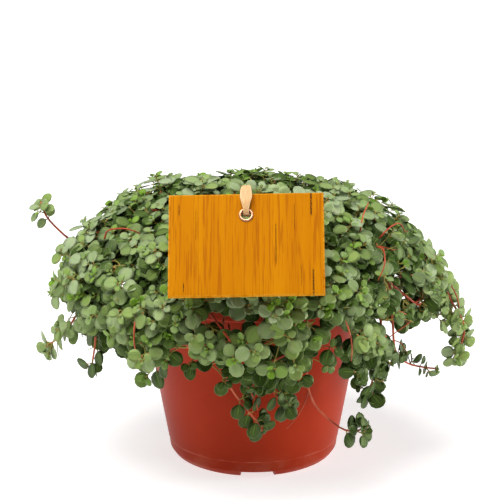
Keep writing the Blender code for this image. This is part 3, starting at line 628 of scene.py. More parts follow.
def turned_out(heading, side, turn):
    """Directions square to the headings, at an angle from the sides: cos(a) s + sin(a) (h x s)."""
    return side * np.cos(turn)[:, None] + np.cross(heading, side) * np.sin(turn)[:, None]


def pairs_on(ways, table, scale, draw, first_turn):
    """Leaf pairs set crosswise on the last part of each way, younger and steeper towards its tip."""
    patches = []
    fresh = draw.random(len(ways)) ** 1.3
    ahead, side, to_tip = followed(ways)
    for number, (back, share, rise, youth) in enumerate(table):
        back = back * MM * scale * draw.uniform(0.85, 1.15, len(ways))
        keep = back < to_tip[:, 0] * 0.96
        if not keep.any():
            continue
        place, heading, across = along_way(ways, ahead, side, to_tip, back)
        turn = first_turn + (number % 2) * math.pi / 2 + draw.normal(0, LEAF_TURN, len(ways))
        out = turned_out(heading, across, turn)
        for sign in (1, -1):
            kept = keep & (draw.random(len(ways)) > LEAVES_LOST) & outside_windows(place + sign * out * 0.004)
            patches.append(set_leaves(place[kept], heading[kept], sign * out[kept], share * scale[kept],
                                      rise, youth * fresh[kept], draw))
    return patches


def to_light(place, inside, own):
    """Where grown leaves turn: out of the foliage, forward and up, and low ones to the side they face."""
    free = part_way(inside, 0, -0.008)[:, None]
    high = part_way(place[:, 2:], 0.045, 0.045) * (1 - 0.8 * free)
    out_there = surface_normal(place)
    facing = np.where(place[:, 1:2] < 0.015, -1, 1) * (0.55 * out_there[:, :1] ** 2 + 0.8 * free)
    low = part_way(place[:, 2:], 0.070, -0.020) * np.sign(own[:, :1])
    return unit(out_there + facing * (0, 1, 0) + np.array((0.0, -0.10, 0.15))
                + high * np.array((0, -0.32, 0.85)) + low * np.array((0.5, 0, 0)))


def set_leaves(place, heading, out, share, rise, youth, draw):
    """One leaf at each place: young ones stand up round the tip, grown ones turn to the light.

    The tint holds the leaf's youth, its share of silver, which is partly waxy silvering and partly painted
    light, and how deep it lies in the foliage, which the leaf finish paints as shade.
    """
    count = len(place)
    rise = np.radians(rise + draw.normal(0, 7, count))[:, None]
    own = heading * np.cos(rise) - out * np.sin(rise)
    inside = sunk(place)
    grown = 1 - youth
    turned = TURNED * grown[:, None]
    normal = own * (1 - turned) + to_light(place, inside, own) * turned
    normal = unit(normal + draw.normal(0, LEAF_TURN, (count, 3)))
    stalk = unit(out * np.cos(rise) + heading * (np.sin(rise) + 0.35 * grown[:, None]))
    length = LEAF_LENGTH * share * draw.uniform(0.84, 1.02, count)
    stalk_length = 0.0004 + length * 0.28 * grown * draw.uniform(0.6, 1.2, count)
    # Depth under the foliage surface, which the leaf finish paints as shade; in the crown, mostly on its
    # left, that shade starts deeper
    crown = part_way(place[:, 2], 0.105, 0.025) * np.clip(0.7 - place[:, 0] / 0.10, 0, 1)
    depth = part_way(inside, 0.0050 * crown, 0.0140)
    # Silver share: partly waxy silvering at random, partly painted light on leaves that face up, lie shallow,
    # stand high or hang very low
    bloom_and_light = 0.7 * draw.random(count) + 0.25 * np.clip(normal[:, 2], 0, 1) * (1 - depth)
    bloom_and_light = bloom_and_light * (0.65 + 0.35 * part_way(place[:, 2], 0.080, 0.040)
                     + 0.60 * part_way(place[:, 2], 0.064, -0.016))
    fresh = np.clip(youth + draw.normal(0, 0.06, count), 0, 1)
    tint = np.stack([fresh, bloom_and_light, depth, np.ones(count)], axis=1)
    return leaves(place, stalk, normal, length, stalk_length, tint, draw)


def cluster(shoot, count, spread, draw):
    """Starts, ends and headings of the small shoots that make up one large rosette of the solids.

    The ends lie on a sunflower disc of the given spread round the tip, bent to the foliage's dome.
    """
    at = np.arange(count)
    radius = spread * np.sqrt((at + 0.35) / count)
    turn = at * GOLDEN_ANGLE + shoot.spin + draw.normal(0, 0.15, count)
    tip = np.array(shoot.tip)
    normal = surface_normal(tip[None])[0]
    first = unit(np.cross(normal, (0.3, 0.2, 1.0)))
    second = np.cross(normal, first)
    offset = (np.cos(turn)[:, None] * first + np.sin(turn)[:, None] * second) * radius[:, None]
    end = tip + offset - normal * (radius ** 2 / (2 * DISC_BEND))[:, None]
    end = end + normal * draw.uniform(-0.0050, 0.0020, count)[:, None]
    leader = draw.integers(1, count)
    sideways = math.hypot(tip[0], tip[1]) / DOME_REACH
    end[leader] += (normal + offset[leader] / spread) * draw.uniform(0.001, 0.002 + 0.005 * sideways ** 3)
    base = np.array(shoot.base)
    start = base + (tip - base) * draw.uniform(0.05, 0.45, count)[:, None]
    out = unit(normal + np.array(shoot.out) * 0.8 + offset / spread * 0.75 + draw.normal(0, 0.12, (count, 3)))
    return start, end, out


def clear_of_board(patch):
    """Drop the whole leaves of a patch that would cut the tag or hide its front."""
    right, up, out = np.array(tag_frame())
    away = patch.points - np.array(TAG_CENTRE)
    near = np.abs(away @ right) < TAG_WIDTH / 2 + BOARD_MARGIN
    near &= np.abs(away @ up) < TAG_HEIGHT / 2 + BOARD_MARGIN
    near &= (away @ out > -BOARD_BEHIND) & (away @ out < BOARD_BEFORE)
    bad = near.reshape(-1, LEAF_SECTIONS * LEAF_SIDES).any(axis=1)
    if not bad.any():
        return patch
    keep = np.repeat(~bad, LEAF_SECTIONS * LEAF_SIDES)
    number = np.cumsum(keep) - 1
    keep_faces = np.repeat(~bad, len(patch.faces) // len(bad))
    return Patch(patch.points[keep], number[patch.faces[keep_faces]], patch.uv[keep], patch.tint[keep],
                 patch.stuff[keep_faces])


def outside_windows(place):
    """Which leaves lie outside the gaps; a place is carried along the view to the axis plane y = 0."""
    rise, run = math.sin(CAMERA_RISE), math.cos(CAMERA_RISE)
    far = CAMERA_FAR / (CAMERA_FAR + place[:, 1] * run)
    across = place[:, 0] * far
    up = CAMERA_AIM[2] + ((place[:, 2] - CAMERA_AIM[2]) * run + place[:, 1] * rise) * far / run
    keep = np.ones(len(place), bool)
    for back, gaps in WINDOWS:
        for middle, height, radius in gaps:
            away = np.hypot(across - middle * MM, up - height * MM)
            keep &= (away > radius * MM) | (place[:, 1] > back * MM)
    return keep


def stem_tube(route, thick, draw):
    """A main stem: a round tube that thins towards its tip and swells a little at nodes."""
    way = smooth_way(route, STEM_STEP)
    share = np.linspace(0, 1, len(way))
    radius = thick * (1 - 0.45 * share) * (1 + 0.10 * np.sin(share * len(way) * 0.9) ** 8)
    return tubes(way[None], radius[None], MAIN_SIDES, np.array([[0.2, draw.random(), 0.6, 1.0]]))


def shoot_tubes(ways, thick, draw):
    """The small shoots as thin round tubes, thinner at the tip."""
    count = len(ways)
    radius = np.broadcast_to(thick * (1 - 0.6 * np.linspace(0, 1, ways.shape[1])), ways.shape[:2])
    tint = np.stack([np.full(count, 0.74), draw.random(count), np.full(count, 0.5), np.ones(count)], axis=1)
    return tubes(ways, radius, SHOOT_SIDES, tint)


def stray_runs(name, draw):
    """The runs of stem that belong to a node, each with the leaf pairs at its tip."""
    patches = []
    for thick, pairs, points in STRAYS.get(name, ()):
        way = np.array(points) * MM
        patches.append(stem_tube(way, thick * MM, draw))
        patches += pairs_on(smooth_way(way, 0.002)[None], PAIRS[1:1 + pairs], np.array([0.9]), draw,
                            np.array([0.5]))
    return patches


def closing_shoot(azimuth, fall, out, size):
    """A further shoot at an angle and a fall, some way out of the foliage surface."""
    return Shoot(foliage_point(azimuth, fall, STEM_DEPTH), foliage_point(azimuth, fall, -MM * out),
                 foliage_out(azimuth, fall), 0.8, size)


def leafy_piece(name, patches, blades, finishes):
    """The piece of a leafy node from its stems, and from its leaves where they are clear of the tag."""
    patches = patches + [clear_of_board(blade) for blade in blades]
    settle(piece_from(f"{name}_growth", joined(patches), finishes), "foliage", name)


def tier_piece(name, route, shoots, finishes, number):
    """One leafy stem of a tier: its main stem, its side shoots, and a cluster round each tip."""
    draw = np.random.default_rng(TIER_SEED + number)
    patches = [stem_tube(route, TIER_STEM_RADIUS, draw), *stray_runs(name, draw)]
    for shoot in shoots[:-1]:
        link = smooth_way([shoot.base, shoot.tip - shoot.out * (TIP_LENGTH + ELBOW), shoot.tip], STEM_STEP)
        patches.append(shoot_tubes(link[None], LINK_RADIUS, draw))
    parts = []
    for shoot in shoots:
        before_pot = shoot.tip.y < -0.050 and shoot.tip.z < 0.090
        count = FRONT_SHOOTS if before_pot else SHOOTS_PER_TIP
        parts.append(cluster(shoot, count, SHOOT_DISC * shoot.size, draw))
    for azimuth, fall, out, count, size in CLOSERS.get(name, ()):
        parts.append(cluster(closing_shoot(azimuth, fall, out, size), count, SHOOT_DISC * size, draw))
    ways = runners(*(np.vstack(part) for part in zip(*parts)), draw)
    ways = ways[outside_windows(ways[:, -1])]
    patches.append(shoot_tubes(ways, TIER_SHOOT_RADIUS, draw))
    scale = draw.uniform(0.88, 1.04, len(ways))
    blades = pairs_on(ways, PAIRS, scale, draw, draw.uniform(0, math.pi, len(ways)))
    leafy_piece(name, patches, blades, finishes)


def sprig_piece(sprig, finishes, number):
    """A single sprig: its long stem, leaf pairs along its leafy end and small shoots between them."""
    draw = np.random.default_rng(SPRIG_SEED + number)
    route = np.array(sprig.way) * MM
    way = smooth_way(route, STEM_STEP)
    patches = [stem_tube(route, SPRIG_STEM_RADIUS, draw), *stray_runs(sprig.name, draw)]
    leafy = np.linalg.norm(np.diff(way, axis=0), axis=1).sum() * sprig.leafy * sprig.kept
    grown = ((back, 1.00, 12, 0.10) for back in np.arange(PAIR_GAP, leafy * 1000 + 4, PAIR_GAP))
    scale = np.array([sprig.leaf])
    blades = pairs_on(way[None], [*PAIRS[:3], *grown], scale, draw, np.array([draw.uniform(0, math.pi)]))
    count = max(1, int(leafy / SHOOT_GAP))
    repeated = [np.repeat(part, count, axis=0) for part in (way[None], *followed(way[None]))]
    place, heading, side = along_way(*repeated, np.linspace(0.006, leafy + 0.003, count))
    out = turned_out(heading, side, draw.uniform(0, FULL_TURN, count))
    out = unit(out + heading * 0.7 + np.array((0, 0, 0.25)))
    reach = draw.uniform(0.0035, 0.0075, count)[:, None]
    small = runners(place, place + out * reach, unit(out + np.array((0, 0, 0.3))), draw)
    patches.append(shoot_tubes(small, SPRIG_SHOOT_RADIUS, draw))
    scale = draw.uniform(0.66, 0.84, count)
    blades += pairs_on(small, PAIRS[:4], scale, draw, draw.uniform(0, math.pi, count))
    leafy_piece(sprig.name, patches, blades, finishes)


# Pot and soil


def rounded(profile, corner, parts=4):
    """A profile with its inner corners cut to short curves: b + (a-b)c(1-t)^2 + (d-b)c t^2."""
    profile = np.asarray(profile, float)
    made = [profile[:1]]
    t = np.linspace(0, 1, parts)[:, None]
    for before, here, after in zip(profile, profile[1:], profile[2:]):
        back = (before - here) * min(0.45, corner / np.linalg.norm(before - here))
        ahead = (after - here) * min(0.45, corner / np.linalg.norm(after - here))
        made.append(here + back * (1 - t) ** 2 + ahead * t ** 2)
    made.append(profile[-1:])
    return np.vstack(made)


def pot_wall(height):
    """The outer radius of the wall at a height, between the ring line and the rim band."""
    return RING_RADIUS + (height - RING_HEIGHT) / WALL_RISE * WALL_FLARE


def pot_profile():
    """The pot's section: foot ring, ring line, tapered wall, rim band and the same way back inside."""
    outline = ((0.0004, FLOOR_UNDER), (0.0348, FLOOR_UNDER), (0.0357, 0.0), (0.0379, 0.0), (0.0405, 0.0014),
               (0.0425, 0.0042), (0.0430, 0.0090), (RING_RADIUS, RING_HEIGHT), (RING_RADIUS, 0.0098),
               (pot_wall(0.030), 0.030), (pot_wall(0.055), 0.055), (0.0572, 0.0870), (0.0592, 0.0878),
               (RIM_RADIUS, 0.0992), (0.0592, POT_HEIGHT), (0.0581, POT_HEIGHT),
               (pot_wall(0.087) - WALL, 0.0862), (pot_wall(0.050) - WALL, 0.050),
               (pot_wall(0.010) - WALL, 0.0100), (0.0388, FLOOR_TOP), (0.0004, FLOOR_TOP))
    return rounded(outline, EDGE_ROUNDING)


def pot_turns():
    """Angles of the pot's columns, closer together where the notches' sides stand."""
    sides = [middle + side for middle in NOTCHES for side in (-NOTCH_HALF_ANGLE, NOTCH_HALF_ANGLE)]
    extra = np.mod(np.concatenate([side + NOTCH_COLUMNS for side in sides]), FULL_TURN)
    even = even_turns(POT_COLUMNS)
    even = even[np.abs(even[:, None] - extra).min(axis=1) > 0.012]
    return np.sort(np.concatenate([even, extra]))


def notch_lift(turns):
    """How far the foot ring's lower edge is raised at each angle: a smooth step up inside a notch."""
    lift = np.zeros_like(turns)
    for middle in NOTCHES:
        away = np.abs((turns - middle + math.pi) % FULL_TURN - math.pi)
        share = np.clip((NOTCH_HALF_ANGLE - away) / 0.020 + 0.5, 0, 1)
        lift = np.maximum(lift, share * share * (3 - 2 * share))
    return lift * NOTCH_HEIGHT


def make_pot(finish):
    """The moulded pot as one turned grid; in a notch the foot's low points move up to its roof."""
    profile = pot_profile()
    turns = pot_turns()
    grid = turned_grid(profile, turns)
    outer = (np.arange(len(profile)) < len(profile) / 2)[:, None]
    foot = (grid[..., 2] < FLOOR_UNDER) & outer
    grid[..., 2] = np.where(foot, np.maximum(grid[..., 2], notch_lift(turns)), grid[..., 2])
    rows, columns = grid.shape[:2]
    centre = rows * columns
    at = np.arange(0, columns - 1, 2)
    fan = np.stack([at, at + 1, at + 2], axis=1) % columns
    low = np.column_stack([fan, np.full_like(at, centre)])
    high = np.column_stack([fan[:, ::-1] + (rows - 1) * columns, np.full_like(at, centre + 1)])
    points = np.vstack([grid.reshape(-1, 3), [(0, 0, FLOOR_UNDER), (0, 0, FLOOR_TOP)]])
    faces = np.vstack([grid_faces(rows, columns)[:, ::-1], low, high])
    item = piece_from("pot_shell", plain_patch(points, faces), [finish], 38)
    cut_drains(item)
    settle(item, "pot_plastic", "pot")


def cut_drains(item):
    """Cut the drain holes in the pot's floor with one applied Boolean."""
    middles = [math.radians(72 * index + 18) for index in range(DRAIN_COUNT)]
    circle = turned_grid([(DRAIN_RADIUS, 0.001), (DRAIN_RADIUS, 0.008)], even_turns(DRAIN_SIDES))
    points = np.stack([circle + (DRAIN_CIRCLE * math.cos(turn), DRAIN_CIRCLE * math.sin(turn), 0)
                       for turn in middles])
    cutter = piece_from("drains", plain_patch(points, tube_faces(DRAIN_COUNT, 2, DRAIN_SIDES)), [])
    joint = item.modifiers.new("drains", "BOOLEAN")
    joint.operation = "DIFFERENCE"
    joint.object = cutter
    bpy.context.view_layer.update()
    seen = item.evaluated_get(bpy.context.evaluated_depsgraph_get())
    cut = bpy.data.meshes.new_from_object(seen)
    item.modifiers.clear()
    item.data = cut
    bpy.data.objects.remove(cutter)


def waves(x, y, draw, count, size):
    """Rough ground: a sum of sine waves of shrinking length and height in random directions."""
    total = np.zeros_like(x)
    for step in range(count):
        length = size * 0.78 ** step
        turn = draw.uniform(0, FULL_TURN)
        phase = (x * math.cos(turn) + y * math.sin(turn)) * 2 * math.pi / length
        total += length * np.sin(phase + draw.uniform(0, 6.28) + 1.5 * np.sin(phase * 0.61 + step))
    return total


def make_soil(finish):
    """The compost: a domed disc with a crumbly top, and a plain tapered side under it."""
    edge = pot_wall(0.084) - 0.0016
    radius = np.concatenate([np.linspace(0.0006, edge - 0.0012, 40), [edge, 0.0425, 0.0385, 0.0006]])
    height = np.concatenate([0.0912 - 0.0030 * np.linspace(0, 1, 40) ** 2, [0.0850, 0.0104, 0.0056, 0.0056]])
    grid = turned_grid(np.stack([radius, height], axis=1)[::-1], even_turns(120))
    rough = waves(grid[..., 0], grid[..., 1], np.random.default_rng(SOIL_SEED), 14, 0.012) * 0.09
    grid[..., 2] += np.clip(rough, -0.0012, 0.0010) * part_way(grid[..., 2], 0.0870, 0.001)
    patch = plain_patch(grid, tube_faces(1, *grid.shape[:2]))
    settle(piece_from("soil_bed", patch, [finish], 50), "compost", "soil")


# Tag, eyelet and loop


def tag_frame():
    """The tag's axes as the rows of a matrix: right, up and out of its front."""
    yaw = Matrix.Rotation(TAG_YAW, 3, "Z")
    turn = yaw @ Matrix.Rotation(-TAG_LEAN, 3, "X") @ Matrix.Rotation(TAG_ROLL, 3, "Y")
    right = turn @ Vector((1, 0, 0))
    up = turn @ Vector((0, 0, 1))
    return Matrix((right, up, right.cross(up)))


def on_tag(points):
    """World points from (right, up, out) measured from the tag's middle."""
    return points.reshape(-1, 3) @ np.array(tag_frame()) + np.array(TAG_CENTRE)


def board_grid():
    """The board as rings round its hole: out over the front, round the edge and back behind.

    A ring at share s goes from the hole's circle to the board's outline along rays from the
    hole's centre: (1 - s) circle + s outline.  The edge is half of a small circle.
    """
    rise = TAG_HOLE_RISE
    wide, tall, thick = TAG_WIDTH / 2, TAG_HEIGHT / 2, TAG_THICK / 2
    corners = [math.atan2(y - rise, x) for x in (wide, -wide) for y in (tall, -tall)]
    turns = np.sort(np.concatenate([np.linspace(-math.pi, math.pi, 144, endpoint=False), corners]))
    ray = np.stack([np.cos(turns), np.sin(turns)], axis=1)
    with np.errstate(divide="ignore"):
        across = np.where(ray[:, 0] > 0, wide, -wide) / ray[:, 0]
        upright = (np.where(ray[:, 1] > 0, tall, -tall) - rise) / ray[:, 1]
    outline = ray * np.minimum(np.abs(across), np.abs(upright))[:, None]
    circle = ray * TAG_HOLE_RADIUS
    rings = [(0, thick - TAG_EDGE * 0.4, 0.0)]
    rings += [(share, thick, 0.0) for share in (0.004, 0.10, 0.25, 0.45, 0.65, 0.82, 0.93)]
    rings += [(1.0, thick - TAG_EDGE * (1 - math.cos(turn)), -TAG_EDGE * (1 - math.sin(turn)))
              for turn in (0, math.pi / 6, math.pi / 3, math.pi / 2)]
    rings += [(share, -depth, inset) for share, depth, inset in reversed(rings)]
    layers = []
    for share, depth, inset in rings:
        flat = circle + (outline - circle) * share
        if inset:
            limit = np.array((wide, tall)) + inset
            flat = np.clip(flat + (0, rise), -limit, limit) - (0, rise)
        bend = 0.00018 * np.sin(flat[:, 0] * 70) + 0.00012 * np.cos(flat[:, 1] * 90 + 1)
        layers.append(np.column_stack([flat + (0, rise), depth + bend * share]))
    return np.stack(layers)


def make_tag(finish):
    """The thin wooden board with softened edges and a slight warp."""
    grid = board_grid()
    faces = grid_faces(*grid.shape[:2], round_rows=True)[:, ::-1]
    patch = plain_patch(on_tag(grid), faces)._replace(uv=grid.reshape(-1, 3)[:, :2] * 10 + 0.5)
    settle(piece_from("tag_board", patch, [finish], 40), "tag_wood", "tag")


def make_eyelet(finish):
    """The rolled ring: a closed C-shaped profile of two round flanges and a barrel, turned round."""
    lower = [(radius, -height) for radius, height in reversed(EYELET_HALF)]
    profile = np.array([(2.2, 0.0), *EYELET_HALF, (2.6, 0.0), *lower]) * MM
    grid = turned_grid(profile, even_turns(64))
    grid[..., 1] += TAG_HOLE_RISE
    patch = plain_patch(on_tag(grid), grid_faces(*grid.shape[:2], round_rows=True))
    settle(piece_from("eyelet_ring", patch, [finish], 50), "eyelet_metal", "eyelet")


def make_loop(finish):
    """The flat strap: a cupped oblong profile carried along the closed way, narrow in the eyelet."""
    way = smooth_way([(0, up * MM, out * MM) for out, up in LOOP_WAY], 0.0004, closed=True)
    thick = np.cross((1.0, 0.0, 0.0), headings(way, closed=True))
    share = np.interp(way[:, 1], (0.002, 0.008, 0.011, 0.0153), (0.0, 1.0, 0.95, 0.42))
    half = (LOOP_NARROW + (LOOP_WIDTH - LOOP_NARROW) * share) / 2
    rows, columns = len(way), 16
    turn = FULL_TURN * np.arange(columns) / columns
    across = np.sign(np.cos(turn)) * np.abs(np.cos(turn)) ** 0.5
    over = np.sign(np.sin(turn)) * np.abs(np.sin(turn)) ** 0.7
    ripple = 0.00006 * np.sin(np.arange(rows) * 0.37)[:, None]
    lift = over * 0.00033 + (1 - across ** 2) * 0.00012 * share[:, None] + ripple
    grid = way[:, None] + np.array((1.0, 0, 0)) * (half[:, None] * across)[..., None]
    grid = grid + thick[:, None] * lift[..., None]
    grid[..., 1] += TAG_HOLE_RISE
    uv = np.stack(np.broadcast_arrays((across / 2 + 0.5)[None], np.linspace(0, 1, rows)[:, None]), axis=-1)
    patch = plain_patch(on_tag(grid), grid_faces(rows, columns, round_rows=True))
    settle(piece_from("strap_loop", patch._replace(uv=uv.reshape(-1, 2)), [finish]), "strap_raffia", "loop")


# Materials


class Signal:
    """A value that a node gives; sums of signals add the nodes that work them out."""

    def __init__(self, graph, socket):
        self.graph = graph
        self.socket = socket

    def __add__(self, other):
        return self.graph.math("ADD", self, other)

    __radd__ = __add__

    def __sub__(self, other):
        return self.graph.math("SUBTRACT", self, other)

    def __rsub__(self, other):
        return self.graph.math("SUBTRACT", other, self)

    def __mul__(self, other):
        return self.graph.math("MULTIPLY", self, other)

    def __abs__(self):
        return self.graph.math("ABSOLUTE", self)

    def larger(self, other):
        """The larger of this and another value."""
        return self.graph.math("MAXIMUM", self, other)

    def ramp(self, low, high):
        """A smooth step of this value between two limits, from 0 to 1."""
        return self.graph.add("ShaderNodeMapRange", "Result", interpolation_type="SMOOTHSTEP", Value=self,
                              From_Min=low, From_Max=high)


class Graph:
    """A material's node tree, with short calls for adding and linking nodes."""

    def __init__(self, name, roughness, **sockets):
        self.material = bpy.data.materials.new(name)
        self.material.use_nodes = True
        self.tree = self.material.node_tree
        self.shader = self.tree.nodes["Principled BSDF"]
        self.give(self.shader, Roughness=roughness, **sockets)

    def feed(self, socket, value):
        """Link a signal to a socket, or set the socket's own value."""
        if isinstance(value, Signal):
            self.tree.links.new(value.socket, socket)
        else:
            socket.default_value = value

    def give(self, node, **values):
        """Give a node its own settings by name, and its inputs by their socket names."""
        for key, value in values.items():
            if hasattr(node, key):
                setattr(node, key, value)
            else:
                self.feed(node.inputs[key.replace("_", " ")], value)

    def add(self, kind, output, **values):
        """One output of a new node of a kind that is given these values."""
        node = self.tree.nodes.new(kind)
        self.give(node, **values)
        return Signal(self, node.outputs[output])

    def parts(self, kind, **values):
        """All outputs of a new node of a kind that is given these values."""
        first = self.add(kind, 0, **values)
        return [Signal(self, socket) for socket in first.socket.node.outputs]

    def math(self, operation, first, second=0.5):
        """One sum on two numbers or signals."""
        node = self.tree.nodes.new("ShaderNodeMath")
        node.operation = operation
        self.feed(node.inputs[0], first)
        self.feed(node.inputs[1], second)
        return Signal(self, node.outputs[0])

    def mix(self, share, first, second):
        """A blend of two colours."""
        node = self.tree.nodes.new("ShaderNodeMix")
        node.data_type = "RGBA"
        self.feed(node.inputs[0], share)
        self.feed(node.inputs[6], first)
        self.feed(node.inputs[7], second)
        return Signal(self, node.outputs[2])

    def place(self, kind="Object"):
        """Object or UV coordinates."""
        return self.add("ShaderNodeTexCoord", kind)

    def stretched(self, place, scale):
        """A place with each of its axes scaled."""
        return self.add("ShaderNodeMapping", "Vector", Vector=place, Scale=scale)

    def noise(self, place, scale, detail=3.0, roughness=0.55):
        """A fractal noise at a place."""
        return self.add("ShaderNodeTexNoise", "Fac", Vector=place, Scale=scale, Detail=detail,
                        Roughness=roughness)

    def tint(self):
        """The three parts of the pieces' tint attribute: youth, silver share or chance, and depth; on leaves
        the silver share is partly painted light and the depth is painted as shade.
        """
        tint = self.add("ShaderNodeAttribute", "Color", attribute_name="tint")
        return self.parts("ShaderNodeSeparateColor", Color=tint)

    def finish(self, colour, height=None, distance=0.0, **rest):
        """Set the base colour, the bump from a height and other sockets, and hand the material over."""
        if height is not None:
            rest["Normal"] = self.add("ShaderNodeBump", "Normal", Height=height, Distance=distance)
        self.give(self.shader, Base_Color=colour, **rest)
        return self.material


def leaf_finish(name, under):
    """Waxy grey-green leaf: bright when young, with a pale rim, a midrib and side veins, silver from waxy
    silvering and from painted light, and darkened by painted shade deep in the foliage.
    """
    settings = bpy.context.scene.plant_leaves
    graph = Graph(name, 0.46, Specular_IOR_Level=0.40, Specular_Tint=(0.80, 1.0, 0.30, 1.0))
    youth, bloom_and_light, depth = graph.tint()
    place, uv = graph.place(), graph.place("UV")
    right, along, _ = graph.parts("ShaderNodeSeparateXYZ", Vector=uv)
    across = abs(right - 0.5) * 2.0
    # Silver from waxy silvering, and as painted light on up-facing, shallow leaves
    old = graph.mix(bloom_and_light.ramp(0.0, 1.0), settings.grown_colour[:], settings.silver_colour[:])
    old = graph.mix(graph.noise(place, 260.0).ramp(0.52, 0.72) * 0.25, old, (0.30, 0.25, 0.09, 1))
    body = graph.mix(youth.ramp(0.05, 0.85), old, settings.young_colour[:])
    # Painted shade: leaves deep in the foliage are darkened towards a near-black green
    body = graph.mix(depth.ramp(0.28, 0.80) * 0.94, body, (0.013, 0.038, 0.002, 1))
    heart = across.ramp(0.16, 0.0) * along.ramp(1.0, 0.35)
    body = graph.mix(heart * 0.40, body, (0.16, 0.30, 0.035, 1))
    arc = along * (1.0 - along) * 1.25 + 0.08
    side_vein = abs(across - arc).ramp(0.06, 0.0)
    body = graph.mix(side_vein * 0.10, body, (0.42, 0.50, 0.26, 1))
    rim = across.ramp(0.82, 1.0).larger(along.ramp(0.93, 1.0))
    body = graph.mix(rim * 0.25, body, (0.40, 0.48, 0.28, 1))
    if under:
        body = graph.mix(0.55, body, (0.20, 0.30, 0.075, 1))
    veins = graph.add("ShaderNodeTexWave", "Fac", Vector=uv, Scale=2.6, Distortion=3.0, Detail=1.0,
                      bands_direction="DIAGONAL")
    grain = graph.noise(place, 900.0)
    height = heart * -0.6 + side_vein * -0.4 + veins * 0.07 + grain * 0.5
    return graph.finish(body, height, 0.00012, Roughness=grain * 0.22 + 0.36)


def stem_finish():
    """Reddish juicy stem: terracotta with greener, paler stalks and tips, and a fine grain."""
    graph = Graph("stem_red", 0.42, Specular_IOR_Level=0.15)
    youth, chance, _ = graph.tint()
    place = graph.place()
    red = graph.mix(chance.ramp(0.0, 1.0), (0.36, 0.050, 0.022, 1), (0.50, 0.115, 0.050, 1))
    red = graph.mix(graph.noise(place, 120.0).ramp(0.45, 0.75), red, (0.22, 0.030, 0.016, 1))
    along = graph.parts("ShaderNodeSeparateXYZ", Vector=graph.place("UV"))[1]
    green = youth.ramp(0.25, 1.0).larger(along.ramp(-0.02, -0.12) * 0.85)
    return graph.finish(graph.mix(green, red, (0.25, 0.31, 0.065, 1)), graph.noise(place, 700.0), 0.00008)


def pot_finish():
    """Satin terracotta-coloured plastic: faint mould mottling, a fine grain and scuffed edges."""
    settings = bpy.context.scene.plant_pot
    graph = Graph("pot_satin_plastic", 0.42, Specular_IOR_Level=0.08)
    place = graph.place()
    broad = graph.noise(place, 22.0, 4.0)
    body = graph.mix(broad.ramp(0.30, 0.75), settings.colour[:], settings.light_colour[:])
    up = graph.parts("ShaderNodeSeparateXYZ", Vector=place)[2]
    dust = up.ramp(0.016, 0.0) * graph.noise(place, 90.0).ramp(0.4, 0.7)
    body = graph.mix(dust * 0.20, body, (0.42, 0.20, 0.13, 1))
    edges = ((0.0998, 0.0007), (0.0880, 0.0005), (0.0095, 0.0004), (0.0004, 0.0012))
    worn = sum(abs(up - height).ramp(wide, 0.0) for height, wide in edges)
    worn = worn * graph.noise(place, 150.0).ramp(0.35, 0.65)
    body = graph.mix(worn * 0.35, body, (0.60, 0.24, 0.15, 1))
    fine = graph.noise(place, 1500.0, 2.0)
    streak = graph.noise(graph.stretched(place, (1.0, 1.0, 0.06)), 420.0, 2.0)
    return graph.finish(body, fine * 0.5 + streak * 0.35, 0.00006, Roughness=broad * 0.16 + 0.34)


def soil_finish():
    """Dark peat compost with paler crumbs and specks."""
    graph = Graph("peat_compost", 0.95)
    place = graph.place()
    crumb = graph.noise(place, 420.0, 5.0, 0.7)
    body = graph.mix(crumb.ramp(0.35, 0.65), (0.022, 0.013, 0.008, 1), (0.10, 0.060, 0.035, 1))
    speck = graph.add("ShaderNodeTexVoronoi", "Distance", Vector=place, Scale=330.0)
    return graph.finish(graph.mix(speck.ramp(0.16, 0.08), body, (0.30, 0.22, 0.14, 1)), crumb, 0.0012)


def board_place(graph):
    """Object coordinates turned into the board's own right, up and out, measured from its middle."""
    axes = tag_frame()
    return graph.add("ShaderNodeMapping", "Vector", Vector=graph.place(), vector_type="POINT",
                     Rotation=tuple(axes.to_euler("XYZ")), Location=tuple(-(axes @ TAG_CENTRE)))


def crack(right, up, wobble, at, low, high, wide):
    """A dark split along the grain at one place across the board, between two heights."""
    line = abs(right - ((wobble - 0.5) * 0.0016 + at)).ramp(wide, wide * 0.25)
    return line * (up.ramp(low, low + 0.002) * up.ramp(high, high - 0.002))


